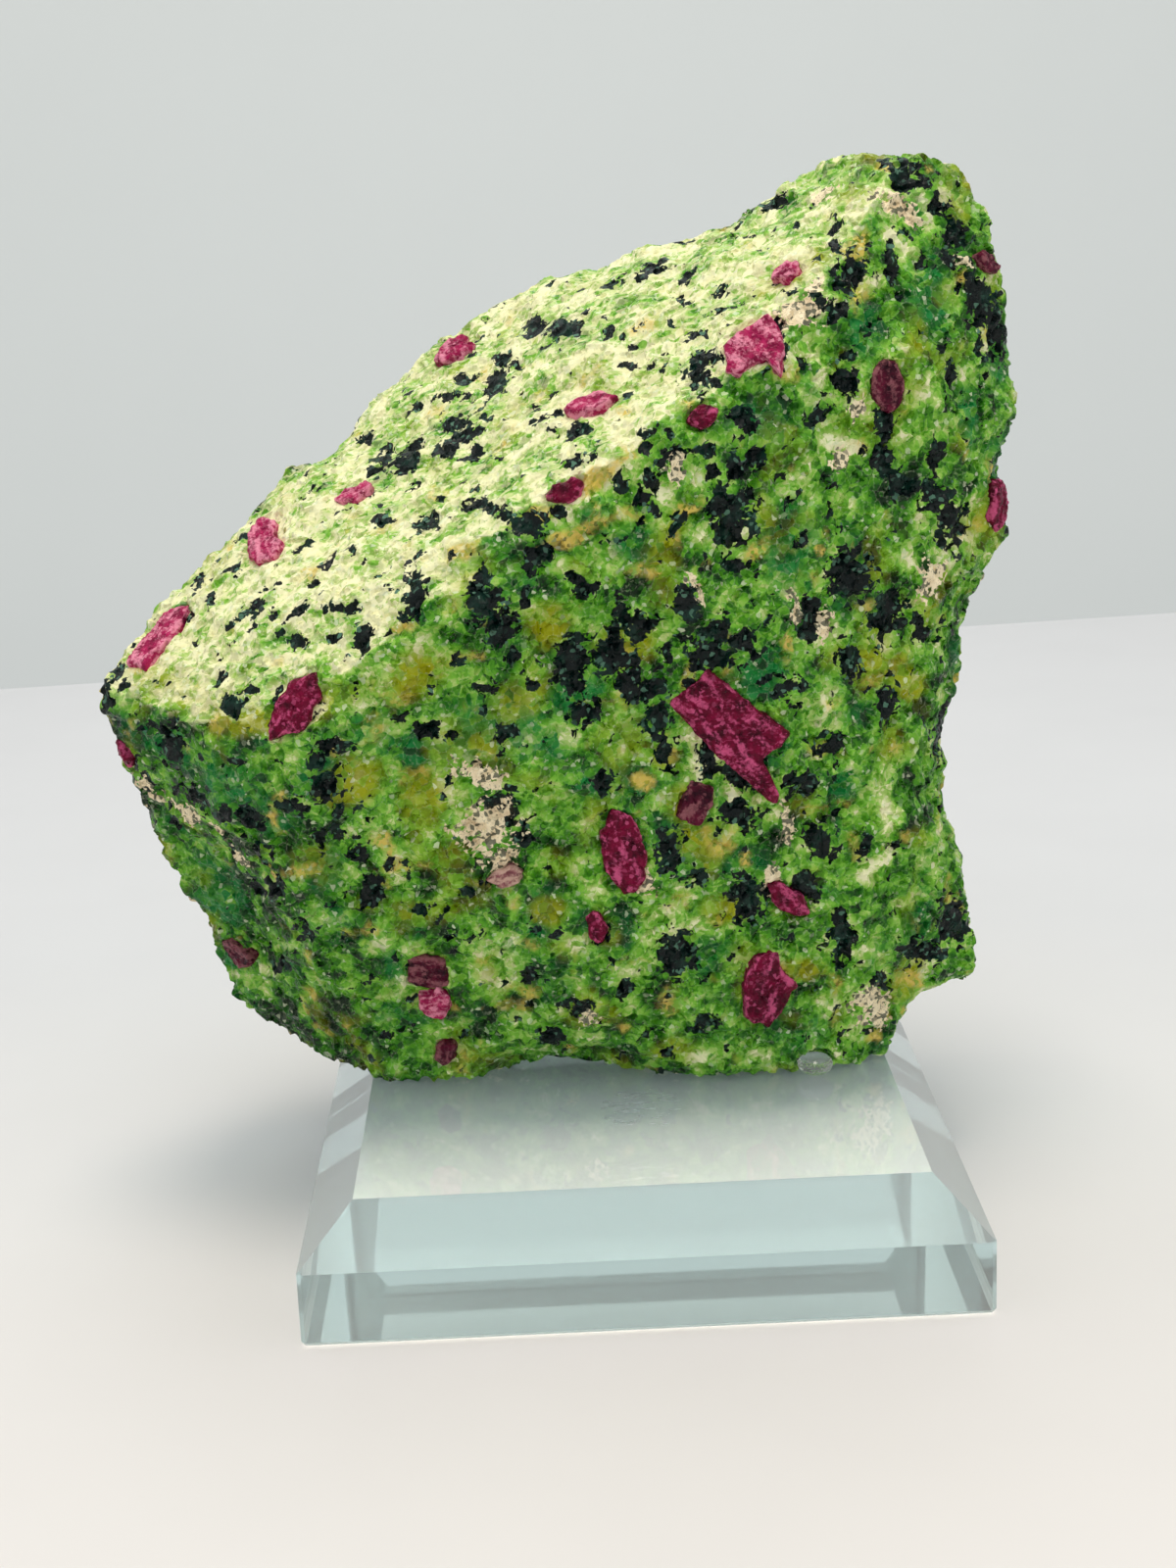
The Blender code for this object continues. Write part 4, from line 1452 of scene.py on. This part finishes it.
@dataclass(frozen=True)
class Geology:
    """Says which mineral grows at each place of the skin, and how it is coloured.

    The seen side follows the marks; the far side follows noise of the same size and share.
    """

    view: Viewpoint
    mark_depth: float = 11.0 * MM
    mark_reach: float = 25.0 * MM
    stray: float = 0.9 * MM
    stray_size: float = 2.6 * MM
    eye_clearance: float = 1.2 * MM
    edge_on: float = -0.05
    ridge: Point = (0.80, -0.08, 0.59)
    slab_facing: Point = (-0.62, -0.25, 0.74)
    slab_from: float = 0.54
    slab_over: float = 0.28
    slab_end: float = 20.0 * MM
    slab_fade: float = 12.0 * MM
    slab_lost: float = 0.75
    undercut_facing: Point = (-0.75, -0.2, -0.63)
    undercut_from: float = 0.45
    undercut_over: float = 0.40
    # Faces that look down and left, under the overhang, get painted shade.
    undercut_painted_shade: float = 0.20
    tone: float = 0.49
    tone_patches: tuple[Span, ...] = ((9.0 * MM, 0.32), (3.2 * MM, 0.52))
    # The slab is paler partly by its own frosted colour and partly by painted light, as the face the light
    # falls on.
    slab_pale_and_painted_light: float = 0.38
    slab_streaks: float = 0.22
    chrome_dark: float = 0.15
    chrome_on_slab: float = 0.20
    stain_gain: float = 2.4
    tint_gain: float = 1.8
    ragged: float = 0.22
    dark_grow: float = 0.12
    cream_grow: float = 0.14

    def closeness(self, places: Array, marks: tuple[Mark, ...], tree: BVHTree) -> Array:
        """How deep in the nearest mark each place lies.

        Args:
            places: Places on the skin.
            marks: Patches, by frame pixel.
            tree: The skin, for rays.

        Returns:
            1 at a mark's middle, 0 at its edge, less outside.
        """
        right, up, ahead = (np.array(a) for a in self.view.axes())
        eye = Vector(self.view.place)
        best = np.full(len(places), -9.0)
        for mark in marks:
            hit = tree.ray_cast(eye, self.view.ray(mark.across, mark.down))[0]
            if hit is None:
                continue
            per_pixel = (hit - eye).dot(Vector(ahead)) / self.view.focal()
            lean = math.radians(mark.lean)
            long_way = math.cos(lean) * right + math.sin(lean) * up
            short_way = math.cos(lean) * up - math.sin(lean) * right
            near = np.flatnonzero(np.abs(places - np.array(hit)).max(1) < self.mark_reach)
            off = places[near] - np.array(hit)
            along = off @ long_way / (mark.wide / 2 * per_pixel)
            over = off @ short_way / (mark.tall / 2 * per_pixel)
            deep = off @ ahead / self.mark_depth
            best[near] = np.maximum(best[near], 1 - np.sqrt(along**2 + over**2 + deep**2))
        return best

    def seen(self, places: Array, normals: Array, tree: BVHTree) -> Array:
        """Say which places the camera sees, so that marks rule there and chance elsewhere.

        Args:
            places: Places on the skin.
            normals: The skin's directions there.
            tree: The skin, for rays.

        Returns:
            True where a place is in view.
        """
        eye = Vector(self.view.place)
        found = []
        for place, normal in zip(places.tolist(), normals.tolist()):
            there = Vector(place) + Vector(normal) * self.eye_clearance
            way = eye - there
            faces = way.normalized().dot(Vector(normal)) > self.edge_on
            found.append(faces and tree.ray_cast(there, way.normalized(), way.length)[0] is None)
        return np.array(found)

    def drawn_out(self, places: Array, share: float) -> Array:
        """Places squeezed along the ridge, so that noise on them makes streaks."""
        ridge = np.array(self.ridge)
        ridge = ridge / np.linalg.norm(ridge)
        return places - np.outer(places @ ridge, ridge) * share

    def tinted(self, near: Array, seen: Array, chance: Array, gain: float, start: float = 0.0) -> Array:
        """How far one stain colours each place.

        Args:
            near: How deep in a mark each place lies.
            seen: True where marks rule.
            chance: The stain's share by chance, added everywhere; under 0 counts as none.
            gain: How fast a mark's colour grows from its edge.
            start: The colour's share on a mark's edge.

        Returns:
            0 for none, 1 or more for the whole colour.
        """
        return np.where(seen, np.clip(near * gain + start, 0, 1), 0) + np.clip(chance, 0, 1)

    def survey(self, places: Array, normals: Array, tree: BVHTree) -> dict[str, Array]:
        """Find what the stone's material needs to know at every place.

        Args:
            places: Places on the smooth skin.
            normals: The skin's directions there.
            tree: The smooth skin, for rays.

        Returns:
            One array for each attribute: over 0 where a mineral grows, or a share of a colour.
        """
        seen = self.seen(places, normals, tree)
        slab = np.clip((normals @ np.array(self.slab_facing) - self.slab_from) / self.slab_over, 0, 1)
        slab *= 1 - self.slab_lost * np.clip((places[:, 0] - self.slab_end) / self.slab_fade, 0, 1)
        undercut = (normals @ np.array(self.undercut_facing) - self.undercut_from) / self.undercut_over

        push = np.stack([noise_at(places, self.stray_size, 71 + k) for k in range(3)], 1)
        strayed = places + self.stray * push
        ragged = self.ragged * noise_at(places, 1.5 * MM, 60)
        marked = self.closeness(strayed, DARK_MARKS, tree) + self.dark_grow + ragged
        knots = noise_at(places, 6.0 * MM, 61) + 0.55 * noise_at(places, 2.2 * MM, 62) - 0.44
        specks = noise_at(self.drawn_out(places, 0.4), 1.6 * MM, 63, 1)
        amphibole = np.maximum(np.where(seen, marked, knots * 1.4), specks * 1.6 - 0.92)
        marked = self.closeness(strayed, CREAM_MARKS, tree) + self.cream_grow + ragged
        veins = noise_at(places, 5.0 * MM, 64) + 0.4 * noise_at(places, 1.6 * MM, 65) - 0.80
        feldspar = np.where(seen, marked, veins)

        chance = noise_at(places, 8 * MM, 68) * 1.5 - 0.25
        chrome = self.tinted(self.closeness(places, CHROME_MARKS, tree), seen, chance, self.tint_gain)
        chance = noise_at(places, 7 * MM, 69) * 1.4 - 0.3
        rust = self.tinted(self.closeness(places, RUST_MARKS, tree), seen, chance, self.tint_gain)
        chance = noise_at(places, 4 * MM, 72, 3) * 2.4 - 1.1
        stain = self.tinted(self.closeness(strayed, STAIN_MARKS, tree), seen, chance, self.stain_gain, 0.25)

        tone = np.full(len(places), self.tone)
        for order, (size, contrast) in enumerate(self.tone_patches):
            tone += contrast * noise_at(places, size, 66 + order)
        streaks = noise_at(self.drawn_out(places, 0.7), 1.4 * MM, 70)
        # Paler on the slab: partly its own frosted colour, partly painted light.
        tone += (self.slab_pale_and_painted_light + self.slab_streaks * streaks) * slab
        # Darker on faces that look down and left: painted shade under the overhang.
        tone -= self.undercut_painted_shade * np.clip(undercut, 0, 1)
        tone -= self.chrome_dark * np.clip(chrome, 0, 1) * (1 - slab)
        return {
            "slab": slab,
            "stain": np.clip(stain, 0, 1),
            "amphibole": np.clip(amphibole, -1, 1),
            "feldspar": np.clip(feldspar, -1, 1),
            "tone": np.clip(tone, 0, 1),
            "chrome": np.clip(chrome, 0, 1) * (1 - (1 - self.chrome_on_slab) * slab),
            "rust": np.clip(rust, 0, 1),
        }


# ---------------------------------------------------------------- the stone's skin


@dataclass(frozen=True)
class StoneSkin:
    """The stone's body: the CAD solid, its pockets filled, broken into ledges and crystal faces."""

    geology: Geology
    node: str = STONE
    voxel: float = 0.40 * MM
    sink: float = 0.34 * MM
    plug_drop: float = 0.7 * MM
    plug_grow: float = 1.16
    lumps: tuple[Span, ...] = ((7.0 * MM, 0.38 * MM), (3.0 * MM, 0.26 * MM), (1.5 * MM, 0.12 * MM))
    ripple: float = 0.20 * MM
    grit: float = 0.05 * MM
    dark_sink: float = 0.22 * MM
    slab_smooth: float = 0.35
    crystal_pitch: float = 1.15 * MM
    crystal_tilt: float = 0.38
    crystal_step: float = 0.10 * MM
    most_step: float = 0.32 * MM
    cuts: tuple[float, ...] = (42.0 * MM, 66.0 * MM, 86.0 * MM)

    def plugs(self, seats: list[CrystalFrame]) -> list[Thing]:
        """Blocks that fill the ruby pockets up to just under the surface.

        Args:
            seats: The crystals' frames.

        Returns:
            One object for each pocket.
        """
        made = []
        for crystal, seat in zip(RUBIES, seats):
            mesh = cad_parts[crystal.node].data.copy()
            mesh.materials.clear()
            local = seat.local(points_of(mesh))
            local[:, :2] *= self.plug_grow
            local[:, 2] -= self.plug_drop
            set_points(mesh, seat.world(local))
            made.append(new_object("plug", mesh))
        return made

    def base(self, seats: list[CrystalFrame]) -> Mesh:
        """The CAD solid with its pockets filled, as an even net.

        Args:
            seats: The crystals' frames, whose pockets are filled.

        Returns:
            The mesh.
        """
        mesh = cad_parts[self.node].data.copy()
        mesh.materials.clear()
        base = new_object("stone_base", mesh)
        parts = [base, *self.plugs(seats)]
        chosen = {"active_object": base, "selected_objects": parts, "selected_editable_objects": parts}
        with bpy.context.temp_override(**chosen):
            bpy.ops.object.join()
        joined = base.data.copy()
        bpy.data.objects.remove(base)
        return remeshed("zoisite_body", joined, self.voxel)

    def crystal_faces(self, mesh: Mesh, points: Array, rng: np.random.Generator) -> Array:
        """How far each place rises when every crystal breaks along its own flat face.

        Args:
            mesh: The even net.
            points: Its vertices' places.
            rng: Where random numbers come from.

        Returns:
            The rise at each vertex, in metres.
        """
        middles, facing = scattered(mesh, self.crystal_pitch, rng)
        tree = tree_of(middles)
        near = np.array([tree.find(place)[1] for place in points.tolist()])
        slope = self.crystal_tilt * rng.standard_normal((len(middles), 3))
        slope -= facing * (slope * facing).sum(1, keepdims=True)
        step = self.crystal_step * rng.standard_normal(len(middles))
        rise = step[near] + ((points - middles[near]) * slope[near]).sum(1)
        return np.clip(rise, -self.most_step, self.most_step)

    def build(self, seats: list[CrystalFrame], rng: np.random.Generator) -> list[Thing]:
        """Make the skin.

        Args:
            seats: The crystals' frames, whose pockets are filled.
            rng: Where random numbers come from.

        Returns:
            The skin's pieces, in place of the CAD solid.
        """
        mesh = self.base(seats)
        points, normals = points_of(mesh), normals_of(mesh)
        tree = BVHTree.FromPolygons(points.tolist(), [tuple(f.vertices) for f in mesh.polygons])
        found = self.geology.survey(points, normals, tree)
        lift = self.crystal_faces(mesh, points, rng) - self.sink
        for order, (size, height) in enumerate(self.lumps):
            lift += height * noise_at(points, size, 40 + order)
        drawn_out = self.geology.drawn_out(points, 0.72)
        lift += self.ripple * found["slab"] * noise_at(drawn_out, 1.3 * MM, 50)
        lift += self.grit * noise_at(points, 0.7 * MM, 51, 1)
        lift -= self.dark_sink * np.clip(found["amphibole"] * 3, 0, 1)
        lift = (lift + self.sink) * (1 - self.slab_smooth * found["slab"]) - self.sink
        points += normals * lift[:, None]
        for crystal, seat in zip(RUBIES, seats):
            points = crystal.pressed(seat, points)
        low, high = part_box(self.node)
        set_points(mesh, np.clip(points, np.array(low), np.array(high)))
        for name, values in found.items():
            add_attribute(mesh, name, values)
        mesh.materials.append(StoneFinish().material())
        return self.slices(mesh)

    def slices(self, mesh: Mesh) -> list[Thing]:
        """Cut the skin into closed layers, so that no piece has too many faces.

        Args:
            mesh: The whole skin; it is removed.

        Returns:
            The pieces, from the foot upwards.
        """
        made = []
        levels = (None, *self.cuts, None)
        for number, (low, high) in enumerate(zip(levels, levels[1:]), start=1):
            layer = bmesh.new()
            layer.from_mesh(mesh)
            for level, below in ((low, True), (high, False)):
                if level is None:
                    continue
                parts = [*layer.verts, *layer.edges, *layer.faces]
                cut = bmesh.ops.bisect_plane(
                    layer, geom=parts, dist=1e-7, plane_co=(0, 0, level), plane_no=(0, 0, 1),
                    clear_inner=below, clear_outer=not below,
                )["geom_cut"]
                rim = [part for part in cut if isinstance(part, bmesh.types.BMEdge)]
                bmesh.ops.holes_fill(layer, edges=rim, sides=0)
            part = bpy.data.meshes.new(f"zoisite_body_{number}")
            layer.to_mesh(part)
            layer.free()
            part.materials.append(mesh.materials[0])
            piece = new_object(f"zoisite_body_{number}", part)
            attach(piece, BODY)
            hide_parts(self.node)
            made.append(piece)
        bpy.data.meshes.remove(mesh)
        return made


# ---------------------------------------------------------------- glass


def dressed(node: str, finish: ClearFinish) -> Thing:
    """Give a see-through piece its finish; it keeps its CAD shape and lets the light past.

    Args:
        node: The piece's CAD node.
        finish: Its finish.

    Returns:
        The piece.
    """
    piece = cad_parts[node]
    piece.data.materials.clear()
    piece.data.materials.append(finish.material())
    piece.visible_shadow = False
    return piece


@dataclass(frozen=True)
class GlassStand:
    """The square glass base: low walls, a wide bevel and polished edges."""

    node: str = "glass_stand"
    finish: StandGlass = StandGlass(
        "stand_glass", 1.52, (0.38, 0.80, 0.80), 8.0, (0.03, 0.08), 9 * MM, 0.86
    )

    def build(self) -> Thing:
        """Dress the stand.

        Returns:
            The stand.
        """
        stand = dressed(self.node, self.finish)
        return stand


@dataclass(frozen=True)
class ClearBead:
    """The dab of clear gel that steadies the stone."""

    node: str = "clear_bead"
    finish: ClearFinish = ClearFinish(
        "bead_gel", 1.43, (0.9, 0.97, 0.95), 4.0, (0.0, 0.07), 1.5 * MM, 0.92
    )

    def build(self) -> Thing:
        """Dress the bead.

        Returns:
            The bead.
        """
        bead = dressed(self.node, self.finish)
        return bead


# ---------------------------------------------------------------- the whole


@dataclass(frozen=True)
class Specimen:
    """The stone with its rubies, on the stand."""

    view: Viewpoint
    seed: int = 7

    def build(self) -> None:
        """Make every piece in order."""
        rng = np.random.default_rng(self.seed)
        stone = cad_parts[STONE].data
        seats = [CrystalFrame.of_node(ruby.node, stone) for ruby in RUBIES]
        for piece in StoneSkin(Geology(self.view)).build(seats, rng):
            LOG.info("%s: %d faces", piece.name, len(piece.data.polygons))
        finishes = {tone: tone.value.material() for tone in RubyTone}
        for ruby, seat in zip(RUBIES, seats):
            crystal = ruby.build(seat, finishes[ruby.tone])
            LOG.info("%s: %d faces", crystal.name, len(crystal.data.polygons))
        LOG.info("%s: dressed", GlassStand().build().name)
        LOG.info("%s: dressed", ClearBead().build().name)


def main() -> None:
    """Build the camera, the studio and the specimen."""
    logging.basicConfig(level=logging.INFO, format="%(message)s")
    view = Viewpoint()
    view.build()
    Studio().build()
    Specimen(view).build()


if __name__ == "__main__":
    main()
